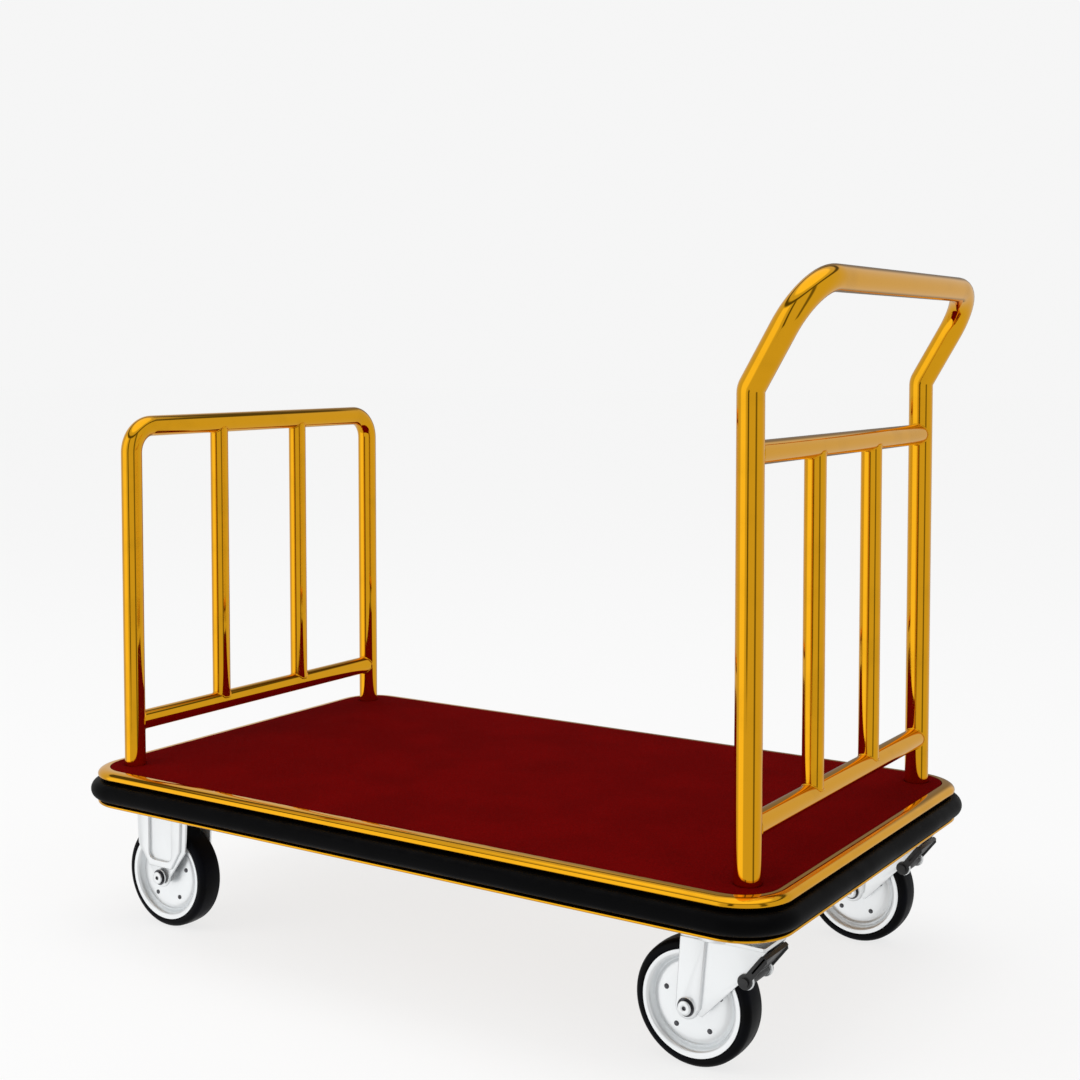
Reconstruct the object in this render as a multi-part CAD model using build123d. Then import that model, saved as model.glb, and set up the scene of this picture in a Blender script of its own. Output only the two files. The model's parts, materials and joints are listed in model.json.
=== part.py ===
from build123d import *
import math
import os

# Hotel luggage cart: a carpeted deck on four casters, with a low rail at the front
# and a taller push handle at the rear. Millimetres, +Z up, floor at z = 0.
# +X runs to the handle end (rear), left is the -Y side and right is the +Y side.
# The pieces are laid out about the middle of the deck, and are shifted at export
# so that the origin lies on the floor under the centre of the whole cart.

# ---- deck ----
deck_length = 1060.0
deck_width = 620.0
deck_corner_radius = 50.0
carpet_thickness = 6.0
board_thickness = 18.0
carpet_edge_gap = 0.3
board_edge_gap = 0.5

# ---- steel underframe and corner brackets ----
frame_height = 20.0
frame_sheet = 3.0
frame_flange = 30.0
cross_member_width = 40.0
cross_member_spread = 400.0
bracket_length = 150.0
bracket_width = 130.0
bracket_thickness = 6.0
socket_wall = 4.0
socket_gap = 0.2
socket_board_gap = 0.5

# ---- edge band and bumper ----
band_sheet = 3.0
band_below_carpet = 1.0
upper_lip_height = 16.0
upper_lip_depth = 14.0
lower_lip_height = 9.0
lower_lip_depth = 14.0
bumper_height = 27.0
bumper_back_depth = 10.0
bumper_bulge = 14.0

# ---- tubes ----
handle_tube = 32.0
rail_tube = 30.0
handle_upright_tube = 27.0
rail_upright_tube = 27.0
cross_bar_tube = 28.0
tube_wall = 1.5
post_inset_x = 37.0
post_inset_y = 43.0
carpet_post_gap = 0.4

# Heights above the carpet, and the handle's reach beyond its posts.
lower_bar_height = 62.0
handle_upper_bar_height = 486.0
handle_kink_height = 558.0
handle_top_height = 682.0
handle_reach = 72.0
rail_top_height = 492.0
handle_kink_radius = 18.0
handle_top_radius = 65.0
rail_bend_radius = 38.0
upright_fraction = 1.0 / 3.0
saddle_fraction = 0.45

# ---- wheels ----
wheel_diameter = 152.0
wheel_width = 38.0
tyre_shoulder = 8.0
tyre_depth = 16.0
rim_sheet = 2.4
# Rim section from the flat disc's edge out to the lip: (below the tyre's seat, in from its side).
rim_steps = [(12.5, 7.0), (9.0, 12.5), (6.0, 12.5), (3.5, 2.8), (1.5, 0.8), (-3.5, 0.8)]
hub_diameter = 22.0
hub_side_gap = 0.3
rim_edge_margin = 10.5
rivet_count = 5
rivet_start_angle = 18.0
rivet_diameter = 4.0
rivet_head_diameter = 6.5
rivet_head_height = 1.4

# ---- casters ----
axle_diameter = 12.0
running_gap = 0.05
axle_hole_gap = 0.1
axle_head_diameter = 17.0
axle_head_height = 5.0
axle_washer_diameter = 23.0
axle_washer_height = 1.5
axle_dimple_diameter = 5.0
axle_nut_across_flats = 19.0
axle_nut_height = 9.0
axle_end_length = 2.0
fork_side_gap = 4.0
fork_sheet = 3.5
fork_rib = 3.5
axle_boss_radius = 15.0
# Swivel fork's leg, from the axle: the raised strip's back and front edges at the crown,
# its front edge at the axle, and the slanting edge of the wing (outward, up).
strip_top_back = -9.0
strip_top_front = 25.0
strip_low_front = (17.0, -3.0)
wing_edge = [(44.0, 17.0), (18.0, -10.0)]
# Rigid fork's leg, from the axle: where its sides begin to taper, and its pressed panel.
rigid_taper_height = 42.0
rigid_side_taper = 3.0
rigid_rib_margin = 8.0
rigid_shoulder_height = 14.0
rigid_shoulder_half = 22.0
panel_width = 44.0
panel_bottom = 24.0
panel_corner = 10.0
crown_gap = 7.0
crown_thickness = 5.0
lower_race_height = 9.0
upper_race_height = 4.0
race_outer_radius = 35.0
race_cover_radius = 37.0
race_inner_radius = 20.0
race_gap = 0.3
thrust_gap = 0.2
caster_plate_thickness = 5.0
caster_plate_corner = 10.0
caster_plate_margin = 12.0
caster_bolt_clear = 8.0
kingpin_diameter = 16.0
kingpin_head_diameter = 28.0
kingpin_head_height = 5.0
caster_inset_y = 65.0
swivel_inset_x = 78.0
swivel_trail = 32.0
rigid_inset_x = 93.0

# ---- brake levers ----
lever_pin_angle = 31.0
lever_pin_clear = 9.6
lever_pin_diameter = 6.0
lever_pin_head_diameter = 11.0
lever_pin_head_height = 2.5
lever_hub_radius = 7.0
lever_cam_nose = 3.0
lever_applied_gap = 0.3
lever_travel = 30.0
lever_side_gap = 1.0
lever_arm_angle = 52.0
lever_arm_length = 42.0
lever_tread_start = 14.0
lever_tread_thickness = 5.0
lever_tread_round = 2.0
lever_wing_gap = 1.0
lever_cheek_radius = 9.0
lever_cheek_width = 10.0
lever_cheek_sheet = 2.5
lever_cheek_gap = 0.4
lever_cheek_round = 4.0
wing_ear_radius = 10.0

# ---- small fasteners ----
caster_bolt_diameter = 8.0
caster_bolt_across_flats = 13.0
caster_bolt_head_height = 5.3
caster_bolt_end_gap = 0.5
caster_hole_gap = 0.1
set_screw_diameter = 8.0
set_screw_length = 10.0
board_screw_diameter = 5.0
board_screw_head_diameter = 9.0
board_screw_head_height = 3.0
board_screw_bite = 12.0
band_rivet_diameter = 6.0
edge_fastener_pitch = 240.0

# ---- heights and places that follow ----
wheel_radius = wheel_diameter / 2
seat_radius = wheel_radius - tyre_depth
crown_z = wheel_diameter + crown_gap
lower_race_z = crown_z + crown_thickness
upper_race_z = lower_race_z + lower_race_height
caster_plate_z = upper_race_z + upper_race_height
bracket_z = caster_plate_z + caster_plate_thickness
frame_z = bracket_z + bracket_thickness
board_z = frame_z + frame_height
carpet_z = board_z + board_thickness
deck_z = carpet_z + carpet_thickness
band_top_z = deck_z - band_below_carpet
bumper_top_z = band_top_z - upper_lip_height
bumper_bottom_z = bumper_top_z - bumper_height
band_bottom_z = bumper_bottom_z - lower_lip_height

post_x = deck_length / 2 - post_inset_x
post_y = deck_width / 2 - post_inset_y
caster_y = deck_width / 2 - caster_inset_y
kingpin_x = deck_length / 2 - swivel_inset_x
rear_axle_x = kingpin_x - swivel_trail
front_axle_x = rigid_inset_x - deck_length / 2
lever_pin_x = (wheel_radius + lever_pin_clear) * math.cos(math.radians(lever_pin_angle))
lever_pin_z = (wheel_radius + lever_pin_clear) * math.sin(math.radians(lever_pin_angle))
arm_run = math.cos(math.radians(lever_arm_angle))
arm_rise = math.sin(math.radians(lever_arm_angle))
fork_half_gap = wheel_width / 2 + fork_side_gap
fork_outer = fork_half_gap + fork_sheet + fork_rib
# The plate's bolts stand clear of the fork's ribs, and the plate reaches past its bolts.
caster_bolt_half = fork_outer + caster_bolt_clear
cheek_inner = fork_half_gap + fork_sheet + lever_cheek_gap
cheek_outer = cheek_inner + lever_cheek_sheet
caster_plate_size = 2 * (caster_bolt_half + caster_plate_margin)

bumper_reach = band_sheet + bumper_back_depth + bumper_bulge
rear_end_x = max(post_x + handle_reach + handle_tube / 2, deck_length / 2 + bumper_reach)
front_end_x = deck_length / 2 + bumper_reach
centre_shift = (front_end_x - rear_end_x) / 2

SIDES = {"left": -1, "right": 1}
ENDS = {"front": -1, "rear": 1}


# ---- helpers ----
def save(name, shape):
    """Write one node's STEP file, shifted to the cart's own origin."""
    export_step(Pos(centre_shift, 0, 0) * shape, f"parts/{name}.step")


def group(solids):
    """Several separate, like solids in one node."""
    return Compound([solid.solid() for solid in solids])


def disc(radius, height, x=0.0, y=0.0, z=0.0):
    """Upright cylinder standing on z."""
    return Pos(x, y, z + height / 2) * Cylinder(radius, height)


def cross_pin(radius, y_low, y_high, x=0.0, z=0.0):
    """Cylinder along Y from y_low to y_high."""
    return Pos(x, (y_low + y_high) / 2, z) * Rot(X=90) * Cylinder(radius, y_high - y_low)


def deck_outline(offset):
    """Rounded rectangle of the deck, grown outward by offset."""
    radius = deck_corner_radius + offset
    return RectangleRounded(deck_length + 2 * offset, deck_width + 2 * offset, radius)


def slab(outline, z, height):
    """Flat plate with the given outline, standing on z."""
    return extrude(Pos(0, 0, z) * outline, height)


def side_plate(outline, y, thickness):
    """Plate in the XZ plane from y to y + thickness."""
    return extrude(Plane.XZ * outline, -thickness).moved(Location((0, y, 0)))


def around_deck(profile):
    """Carry an edge profile (outward, up) right round the rounded deck."""
    half_x = deck_length / 2 - deck_corner_radius
    half_y = deck_width / 2 - deck_corner_radius
    section = Plane.XZ * Pos(deck_corner_radius, 0) * profile
    corner = revolve(section, Axis.Z, 90)
    pieces = []
    for turn in (0, 90, 180, 270):
        across, along = (half_x, half_y) if turn in (0, 180) else (half_y, half_x)
        straight = Pos(across, along, 0) * extrude(section, 2 * along)
        pieces.append(Rot(Z=turn) * straight)
        pieces.append(Rot(Z=turn) * Pos(across, along, 0) * corner)
    return pieces[0].fuse(*pieces[1:])


def lip_profile(centre_z, depth, height):
    """Half-ellipse lip that bulges outward from the band's flat web."""
    nose = Pos(band_sheet, centre_z) * Ellipse(depth, height / 2)
    outside = Pos(band_sheet + depth / 2, centre_z) * Rectangle(depth, height)
    return nose & outside


def bent(points, radii, diameter):
    """Round tube along straight runs joined by tangent arcs."""
    path = FilletPolyline(*points, radius=radii) if radii else Line(*points)
    section = Circle(diameter / 2) - Circle(diameter / 2 - tube_wall)
    start = Plane(origin=path @ 0, z_dir=path % 0)
    return sweep(start * section, path=path)


# ---- deck pieces ----
def posts():
    """Name, x, y and tube diameter of the four posts."""
    for end, end_sign in ENDS.items():
        for side, side_sign in SIDES.items():
            tube = handle_tube if end == "rear" else rail_tube
            yield f"{end}_{side}", end_sign * post_x, side_sign * post_y, tube


def make_carpet():
    carpet = slab(deck_outline(-carpet_edge_gap), carpet_z, carpet_thickness)
    for _, x, y, tube in posts():
        carpet -= disc(tube / 2 + carpet_post_gap, carpet_thickness, x, y, carpet_z)
    return carpet


def edge_places(inset):
    """Evenly spaced places along the four straight sides, inset from the deck's edge."""
    straight_x = deck_length - 2 * deck_corner_radius - frame_flange
    straight_y = deck_width - 2 * deck_corner_radius - frame_flange
    for turn, straight, across in ((0, straight_x, deck_width / 2), (90, straight_y, deck_length / 2)):
        count = max(2, round(straight / edge_fastener_pitch))
        for index in range(count):
            along = (index + 0.5) / count * straight - straight / 2
            for sign in (-1, 1):
                side = sign * (across - inset)
                yield (along, side, turn) if turn == 0 else (side, along, turn)


def board_screw_places():
    """Middles of the frame's flange, where wood screws go up into the board."""
    return [(x, y) for x, y, _ in edge_places(frame_flange / 2 + frame_sheet)]


def make_board():
    board = slab(deck_outline(-board_edge_gap), board_z, board_thickness)
    for _, x, y, tube in posts():
        hole = tube / 2 + socket_gap + socket_wall + socket_board_gap
        board -= disc(hole, board_thickness, x, y, board_z)
    for x, y in board_screw_places():
        board -= disc(board_screw_diameter / 2, board_screw_bite, x, y, board_z)
    return board


def make_underframe():
    upright = slab(deck_outline(0) - deck_outline(-frame_sheet), frame_z, frame_height)
    shelf_z = frame_z + frame_height - frame_sheet
    flange = slab(deck_outline(0) - deck_outline(-frame_flange), shelf_z, frame_sheet)
    frame = upright + flange
    span = deck_width - 2 * frame_sheet
    for sign in (-1, 1):
        outer = Box(cross_member_width, span, frame_height)
        inner = Box(cross_member_width - 2 * frame_sheet, span, frame_height - frame_sheet)
        member = outer - Pos(0, 0, -frame_sheet / 2) * inner
        frame += Pos(sign * cross_member_spread / 2, 0, frame_z + frame_height / 2) * member
    for _, x, y, tube in posts():
        notch = tube / 2 + socket_gap + socket_wall + socket_board_gap
        frame -= disc(notch, frame_height, x, y, frame_z)
    for x, y in board_screw_places():
        frame -= disc(board_screw_diameter / 2, frame_height, x, y, frame_z)
    for rivet in band_rivets():
        frame -= rivet
    return frame


def bracket_bolt_places(end, side_sign):
    """The four caster bolts under one corner."""
    centre_x = kingpin_x if end == "rear" else front_axle_x
    centre_y = side_sign * caster_y
    half = caster_bolt_half
    return [(centre_x + i * half, centre_y + j * half) for i in (-1, 1) for j in (-1, 1)]


def make_bracket(end, side_sign, post, tube):
    corner_x = ENDS[end] * (deck_length - bracket_length) / 2
    corner_y = side_sign * (deck_width - bracket_width) / 2
    corner = Pos(corner_x, corner_y) * Rectangle(bracket_length, bracket_width)
    bracket = slab(deck_outline(-board_edge_gap) & corner, bracket_z, bracket_thickness)
    bore = tube / 2 + socket_gap
    socket_height = frame_height + board_thickness
    socket = disc(bore + socket_wall, socket_height, post[0], post[1], frame_z)
    socket -= disc(bore, socket_height, post[0], post[1], frame_z)
    bracket += socket
    for x, y in bracket_bolt_places(end, side_sign):
        bracket -= disc(caster_bolt_diameter / 2, bracket_thickness, x, y, bracket_z)
    return bracket - make_set_screw(post, tube)


def make_set_screw(post, tube):
    """Screw lying along X, from the post's face toward the middle of the deck."""
    inward = -1 if post[0] > 0 else 1
    middle = post[0] + inward * (tube / 2 + set_screw_length / 2)
    height = frame_z + (frame_height - frame_sheet) / 2
    return Pos(middle, post[1], height) * Rot(Y=90) * Cylinder(set_screw_diameter / 2, set_screw_length)


def band_rivets():
    """Flush rivets through the band's web and the frame's upright leg."""
    height = frame_z + (frame_height - frame_sheet) / 2
    rivets = []
    for x, y, turn in edge_places(0):
        length = band_sheet + frame_sheet
        if turn == 0:
            out = math.copysign((band_sheet - frame_sheet) / 2, y)
            rivets.append(Pos(x, y + out, height) * Rot(X=90) * Cylinder(band_rivet_diameter / 2, length))
        else:
            out = math.copysign((band_sheet - frame_sheet) / 2, x)
            rivets.append(Pos(x + out, y, height) * Rot(Y=90) * Cylinder(band_rivet_diameter / 2, length))
    return rivets


def make_band():
    web_height = band_top_z - band_bottom_z
    web = Pos(band_sheet / 2, (band_top_z + band_bottom_z) / 2) * Rectangle(band_sheet, web_height)
    upper = lip_profile(band_top_z - upper_lip_height / 2, upper_lip_depth, upper_lip_height)
    lower = lip_profile(band_bottom_z + lower_lip_height / 2, lower_lip_depth, lower_lip_height)
    band = around_deck(web + upper + lower)
    for rivet in band_rivets():
        band -= rivet
    return band


def make_bumper():
    centre_z = (bumper_top_z + bumper_bottom_z) / 2
    back = Pos(band_sheet + bumper_back_depth / 2, centre_z) * Rectangle(bumper_back_depth, bumper_height)
    bulge = Pos(band_sheet + bumper_back_depth, centre_z) * Ellipse(bumper_bulge, bumper_height / 2)
    front_x = band_sheet + bumper_back_depth + bumper_bulge / 2
    front = Pos(front_x, centre_z) * Rectangle(bumper_bulge, bumper_height)
    return around_deck(back + (bulge & front))


def make_board_screws():
    shelf_z = frame_z + frame_height - frame_sheet
    screws = []
    for x, y in board_screw_places():
        shank = disc(board_screw_diameter / 2, frame_sheet + board_screw_bite, x, y, shelf_z)
        head_z = shelf_z - board_screw_head_height
        screws.append(shank + disc(board_screw_head_diameter / 2, board_screw_head_height, x, y, head_z))
    return group(screws)


def make_caster_bolts():
    bolts = []
    length = caster_plate_thickness + bracket_thickness - caster_bolt_end_gap
    head = RegularPolygon(caster_bolt_across_flats / 2, 6, major_radius=False)
    head_z = caster_plate_z - caster_bolt_head_height
    for end in ENDS:
        for side_sign in SIDES.values():
            for x, y in bracket_bolt_places(end, side_sign):
                shank = disc(caster_bolt_diameter / 2, length, x, y, caster_plate_z)
                cap = extrude(Pos(x, y, head_z) * head, caster_bolt_head_height)
                bolts.append(shank + cap)
    return group(bolts)


# ---- handle and rail ----
def handle_points():
    kink_z = deck_z + handle_kink_height
    top_z = deck_z + handle_top_height
    top_x = post_x + handle_reach
    return [
        (post_x, -post_y, frame_z), (post_x, -post_y, kink_z), (top_x, -post_y, top_z),
        (top_x, post_y, top_z), (post_x, post_y, kink_z), (post_x, post_y, frame_z),
    ]


def rail_points():
    top_z = deck_z + rail_top_height
    return [
        (-post_x, -post_y, frame_z), (-post_x, -post_y, top_z),
        (-post_x, post_y, top_z), (-post_x, post_y, frame_z),
    ]


def make_handle_hoop():
    radii = [handle_kink_radius, handle_top_radius, handle_top_radius, handle_kink_radius]
    return bent(handle_points(), radii, handle_tube)


def make_rail_hoop():
    return bent(rail_points(), [rail_bend_radius, rail_bend_radius], rail_tube)


def make_cross_bar(x, height, post_tube):
    """Level tube between two posts, saddle-cut to fit round them."""
    z = deck_z + height
    bar = bent([(x, -post_y, z), (x, post_y, z)], None, cross_bar_tube)
    for sign in (-1, 1):
        post = disc(post_tube / 2, 2 * cross_bar_tube, x, sign * post_y, z - cross_bar_tube)
        bar -= post
    return bar.solids().sort_by(SortBy.VOLUME)[-1]


def make_upright(x, y, tube, top_height, top_tube):
    """Upright tube from the lower bar to the bar above, saddle-cut at both ends."""
    low_z = deck_z + lower_bar_height
    high_z = deck_z + top_height
    start = (x, y, low_z + saddle_fraction * cross_bar_tube / 2)
    end = (x, y, high_z - saddle_fraction * top_tube / 2)
    upright = bent([start, end], None, tube)
    upright -= cross_pin(cross_bar_tube / 2, y - tube, y + tube, x, low_z)
    upright -= cross_pin(top_tube / 2, y - tube, y + tube, x, high_z)
    return upright.solids().sort_by(SortBy.VOLUME)[-1]


# ---- wheel pieces, about the wheel's own centre ----
def rim_path():
    """Half of the rim's section as (radius, offset from the wheel's middle)."""
    steps = [(seat_radius - below, wheel_width / 2 - inward) for below, inward in rim_steps]
    return [(hub_diameter / 2, steps[0][1])] + steps


def rim_section():
    return trace(Polyline(*rim_path()), line_width=rim_sheet)


def spin(section):
    """Turn a (radius, offset) section about the wheel's axle, which lies along Y."""
    return Rot(X=-90) * revolve(Plane.XZ * section, Axis.Z)


def rim_half():
    return spin(rim_section())


def rivet_places():
    circle = seat_radius - rim_steps[0][0] - rim_edge_margin
    for index in range(rivet_count):
        angle = math.radians(rivet_start_angle + 360 * index / rivet_count)
        yield circle * math.cos(angle), circle * math.sin(angle)


def make_rim():
    half = rim_half()
    for x, z in rivet_places():
        half -= cross_pin(rivet_diameter / 2, -wheel_width, wheel_width, x, z)
    return group([half, mirror(half, Plane.XZ)])


def make_rivets():
    disc_face = wheel_width / 2 - rim_steps[0][1] + rim_sheet / 2
    head_face = disc_face + rivet_head_height
    rivets = []
    for x, z in rivet_places():
        rivet = cross_pin(rivet_diameter / 2, -disc_face, disc_face, x, z)
        rivet += cross_pin(rivet_head_diameter / 2, -head_face, -disc_face, x, z)
        rivet += cross_pin(rivet_head_diameter / 2, disc_face, head_face, x, z)
        rivets.append(rivet)
    return group(rivets)


def make_hub():
    half = fork_half_gap - hub_side_gap
    hub = cross_pin(hub_diameter / 2, -half, half)
    return hub - cross_pin(axle_diameter / 2 + running_gap, -half, half)


def make_tyre():
    outline = Pos(seat_radius + tyre_depth / 2, 0) * Rectangle(tyre_depth, wheel_width)
    crown = outline.vertices().group_by(Axis.X)[-1]
    section = fillet(crown, tyre_shoulder)
    rim = rim_section()
    section = section - rim - mirror(rim, Plane.XZ)
    return spin(section.faces().sort_by(SortBy.AREA)[-1])


# ---- caster pieces ----
def boss_outline(points):
    """Plate outline: a polygon joined to the round boss at the axle."""
    return make_face(Polyline(*points, close=True)) + Circle(axle_boss_radius)


def mirrored_points(points):
    """Right-hand half of a symmetric outline, top to bottom, then its mirror back up."""
    return points + [(-x, z) for x, z in reversed(points)]


def fork_legs(outline, ribs):
    """The same leg on both sides of the wheel, with raised ribs on the outside."""
    legs = None
    for sign in (-1, 1):
        inner = fork_half_gap if sign > 0 else -fork_half_gap - fork_sheet
        leg = side_plate(outline, inner, fork_sheet)
        outer = fork_half_gap + fork_sheet if sign > 0 else -fork_outer
        for rib in ribs:
            leg += side_plate(rib, outer, fork_rib)
        legs = leg if legs is None else legs + leg
    return legs


def wing_slant(height):
    """Place on the wing's upper slanting edge, beside the lever's arm, at a height."""
    back = lever_tread_thickness / 2 + lever_wing_gap
    along = (height - lever_pin_z - back * arm_run) / arm_rise
    return (lever_pin_x + along * arm_run - back * arm_rise, height)


def make_swivel_fork():
    top = crown_z - wheel_radius
    strip_points = [(-axle_boss_radius, 0), (strip_top_back, top), (strip_top_front, top), strip_low_front]
    strip = boss_outline(strip_points)
    wing_points = [(0, top), wing_slant(top), wing_slant(lever_pin_z)] + wing_edge
    wing = make_face(Polyline(*wing_points, close=True))
    wing += Pos(lever_pin_x, lever_pin_z) * Circle(wing_ear_radius)
    fork = fork_legs(strip + wing, [strip])
    far_edge = wing_slant(top)[0]
    crown_length = far_edge - strip_top_back
    crown = Pos((far_edge + strip_top_back) / 2, 0) * Rectangle(crown_length, 2 * fork_outer)
    crown += Pos(swivel_trail, 0) * Circle(race_outer_radius)
    fork += slab(crown, top, crown_thickness)
    bore = kingpin_diameter / 2 + running_gap
    fork -= disc(bore, crown_thickness, swivel_trail, 0, top)
    fork -= cross_pin(axle_diameter / 2 + axle_hole_gap, -fork_outer, fork_outer)
    fork -= cross_pin(lever_pin_diameter / 2, -fork_outer, fork_outer, lever_pin_x, lever_pin_z)
    return fork


def make_rigid_fork():
    top = caster_plate_z - wheel_radius
    half = caster_plate_size / 2
    side = half - rigid_side_taper
    rib = half - rigid_rib_margin
    outline = boss_outline(mirrored_points([(half, top), (side, rigid_taper_height), (axle_boss_radius, 0)]))
    shoulder_points = [(rib, top), (rib - rigid_side_taper, rigid_taper_height)]
    shoulder_points.append((rigid_shoulder_half, rigid_shoulder_height))
    shoulders = make_face(Polyline(*mirrored_points(shoulder_points), close=True))
    panel_height = top - panel_bottom
    panel = RectangleRounded(panel_width, 2 * panel_height, panel_corner)
    panel = Pos(0, panel_bottom + panel_height) * panel
    fork = fork_legs(outline, [shoulders - panel])
    plate = slab(RectangleRounded(caster_plate_size, caster_plate_size, caster_plate_corner), top,
                 caster_plate_thickness)
    fork += plate
    fork -= cross_pin(axle_diameter / 2 + axle_hole_gap, -fork_outer, fork_outer)
    return fork - plate_holes(top)


def plate_holes(z):
    half = caster_bolt_half
    hole = caster_bolt_diameter / 2 + caster_hole_gap
    height = caster_plate_thickness
    return [disc(hole, height, i * half, j * half, z) for i in (-1, 1) for j in (-1, 1)]


def make_top_plate():
    """Swivel caster's fixed plate, with the upper half of the ball race under it."""
    plate = slab(RectangleRounded(caster_plate_size, caster_plate_size, caster_plate_corner), caster_plate_z,
                 caster_plate_thickness)
    plate += disc(race_cover_radius, upper_race_height, 0, 0, upper_race_z)
    plate -= disc(kingpin_diameter / 2, caster_plate_thickness + upper_race_height, 0, 0, upper_race_z)
    return plate - plate_holes(caster_plate_z)


def make_lower_race():
    race = disc(race_outer_radius, lower_race_height - race_gap, 0, 0, lower_race_z)
    return race - disc(race_inner_radius, lower_race_height, 0, 0, lower_race_z)


def make_kingpin():
    head_z = crown_z - thrust_gap - kingpin_head_height
    pin = disc(kingpin_diameter / 2, bracket_z - head_z, 0, 0, head_z)
    return pin + disc(kingpin_head_diameter / 2, kingpin_head_height, 0, 0, head_z)


def make_axle_bolt():
    """Shank along Y, with a washer and a round head on the -Y side."""
    head_y = -fork_outer - axle_washer_height
    bolt = cross_pin(axle_diameter / 2, head_y, fork_outer + axle_nut_height + axle_end_length)
    bolt += cross_pin(axle_washer_diameter / 2, head_y, -fork_outer)
    bolt += cross_pin(axle_head_diameter / 2, head_y - axle_head_height, head_y)
    return bolt - cross_pin(axle_dimple_diameter / 2, head_y - axle_head_height, head_y)


def make_axle_nut():
    hexagon = RegularPolygon(axle_nut_across_flats / 2, 6, major_radius=False)
    nut = side_plate(hexagon, fork_outer, axle_nut_height)
    return nut - cross_pin(axle_diameter / 2, fork_outer, fork_outer + axle_nut_height)


def make_lever_pin():
    """Pin through the wings and the lever's cheeks, with a head outside each cheek."""
    half = cheek_outer + lever_cheek_gap
    head = half + lever_pin_head_height
    pin = cross_pin(lever_pin_diameter / 2, -half, half)
    pin += cross_pin(lever_pin_head_diameter / 2, -head, -half)
    pin += cross_pin(lever_pin_head_diameter / 2, half, head)
    return Pos(lever_pin_x, 0, lever_pin_z) * pin


def lever_cam():
    """Cam between the wings. Pressed down by its full travel, its nose points at the axle."""
    nose_reach = lever_pin_clear - lever_applied_gap - lever_cam_nose
    nose_angle = math.radians(180 + lever_pin_angle + lever_travel)
    nose = Circle(lever_cam_nose)
    nose = Pos(nose_reach * math.cos(nose_angle), nose_reach * math.sin(nose_angle)) * nose
    return Circle(lever_hub_radius) + nose


def make_brake_lever():
    """Pressed lever: a cam and two cheeks on the pin, joined by a tread beyond the wings."""
    cam_half = fork_half_gap - lever_side_gap
    tread_length = lever_arm_length - lever_tread_start
    tread = RectangleRounded(tread_length, lever_tread_thickness, lever_tread_round)
    tread = Rot(Z=lever_arm_angle) * Pos(lever_tread_start + tread_length / 2, 0) * tread
    cheek = RectangleRounded(lever_arm_length, lever_cheek_width, lever_cheek_round)
    cheek = Rot(Z=lever_arm_angle) * Pos(lever_arm_length / 2, 0) * cheek
    cheek += Circle(lever_cheek_radius)
    web = Rot(Z=lever_arm_angle) * Pos(lever_tread_start / 2, 0)
    web = web * Rectangle(lever_tread_start + lever_tread_thickness, lever_tread_thickness)
    lever = side_plate(lever_cam() + web, -cam_half, 2 * cam_half)
    lever += side_plate(tread, -cheek_outer, 2 * cheek_outer)
    for start in (-cheek_outer, cheek_inner):
        lever += side_plate(cheek, start, lever_cheek_sheet)
    lever -= cross_pin(lever_pin_diameter / 2 + running_gap, -cheek_outer, cheek_outer)
    return Pos(lever_pin_x, 0, lever_pin_z) * lever


# ---- assembly ----
def save_deck():
    save("carpet", make_carpet())
    save("deck_board", make_board())
    save("underframe", make_underframe())
    save("edge_channel", make_band())
    save("bumper", make_bumper())
    save("channel_rivets", group(band_rivets()))
    save("board_screws", make_board_screws())
    save("caster_bolts", make_caster_bolts())
    screws = []
    for name, x, y, tube in posts():
        end = name.split("_")[0]
        save(f"{name}_corner_bracket", make_bracket(end, math.copysign(1, y), (x, y), tube))
        screws.append(make_set_screw((x, y), tube))
    save("post_set_screws", group(screws))


def save_rails():
    save("handle_hoop", make_handle_hoop())
    save("handle_lower_bar", make_cross_bar(post_x, lower_bar_height, handle_tube))
    save("handle_upper_bar", make_cross_bar(post_x, handle_upper_bar_height, handle_tube))
    save("rail_hoop", make_rail_hoop())
    save("rail_lower_bar", make_cross_bar(-post_x, lower_bar_height, rail_tube))
    for side, sign in SIDES.items():
        y = sign * post_y * upright_fraction
        save(f"handle_{side}_upright",
             make_upright(post_x, y, handle_upright_tube, handle_upper_bar_height, cross_bar_tube))
        save(f"rail_{side}_upright",
             make_upright(-post_x, y, rail_upright_tube, rail_top_height, rail_tube))


def save_wheel(name, place):
    save(f"{name}_tyre", place * make_tyre())
    save(f"{name}_rim", place * make_rim())
    save(f"{name}_rim_rivets", place * make_rivets())
    save(f"{name}_hub", place * make_hub())


def save_casters():
    rigid_bolts = []
    rigid_nuts = []
    for side, sign in SIDES.items():
        rear = Pos(rear_axle_x, sign * caster_y, wheel_radius)
        kingpin = Pos(kingpin_x, sign * caster_y, 0)
        name = f"rear_{side}"
        save_wheel(name, rear)
        save(f"{name}_fork", rear * make_swivel_fork())
        save(f"{name}_axle_bolt", rear * make_axle_bolt())
        save(f"{name}_axle_nut", rear * make_axle_nut())
        save(f"{name}_lever_pin", rear * make_lever_pin())
        save(f"{name}_brake_lever", rear * make_brake_lever())
        save(f"{name}_lower_race", kingpin * make_lower_race())
        save(f"{name}_top_plate", kingpin * make_top_plate())
        save(f"{name}_kingpin", kingpin * make_kingpin())
        front = Pos(front_axle_x, sign * caster_y, wheel_radius)
        save_wheel(f"front_{side}", front)
        save(f"front_{side}_fork", front * make_rigid_fork())
        rigid_bolts.append(front * make_axle_bolt())
        rigid_nuts.append(front * make_axle_nut())
    save("front_axle_bolts", group(rigid_bolts))
    save("front_axle_nuts", group(rigid_nuts))


os.makedirs("parts", exist_ok=True)
save_deck()
save_rails()
save_casters()
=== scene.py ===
import bmesh
import bpy
import json
import math
from mathutils import Matrix, Vector, noise


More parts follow.
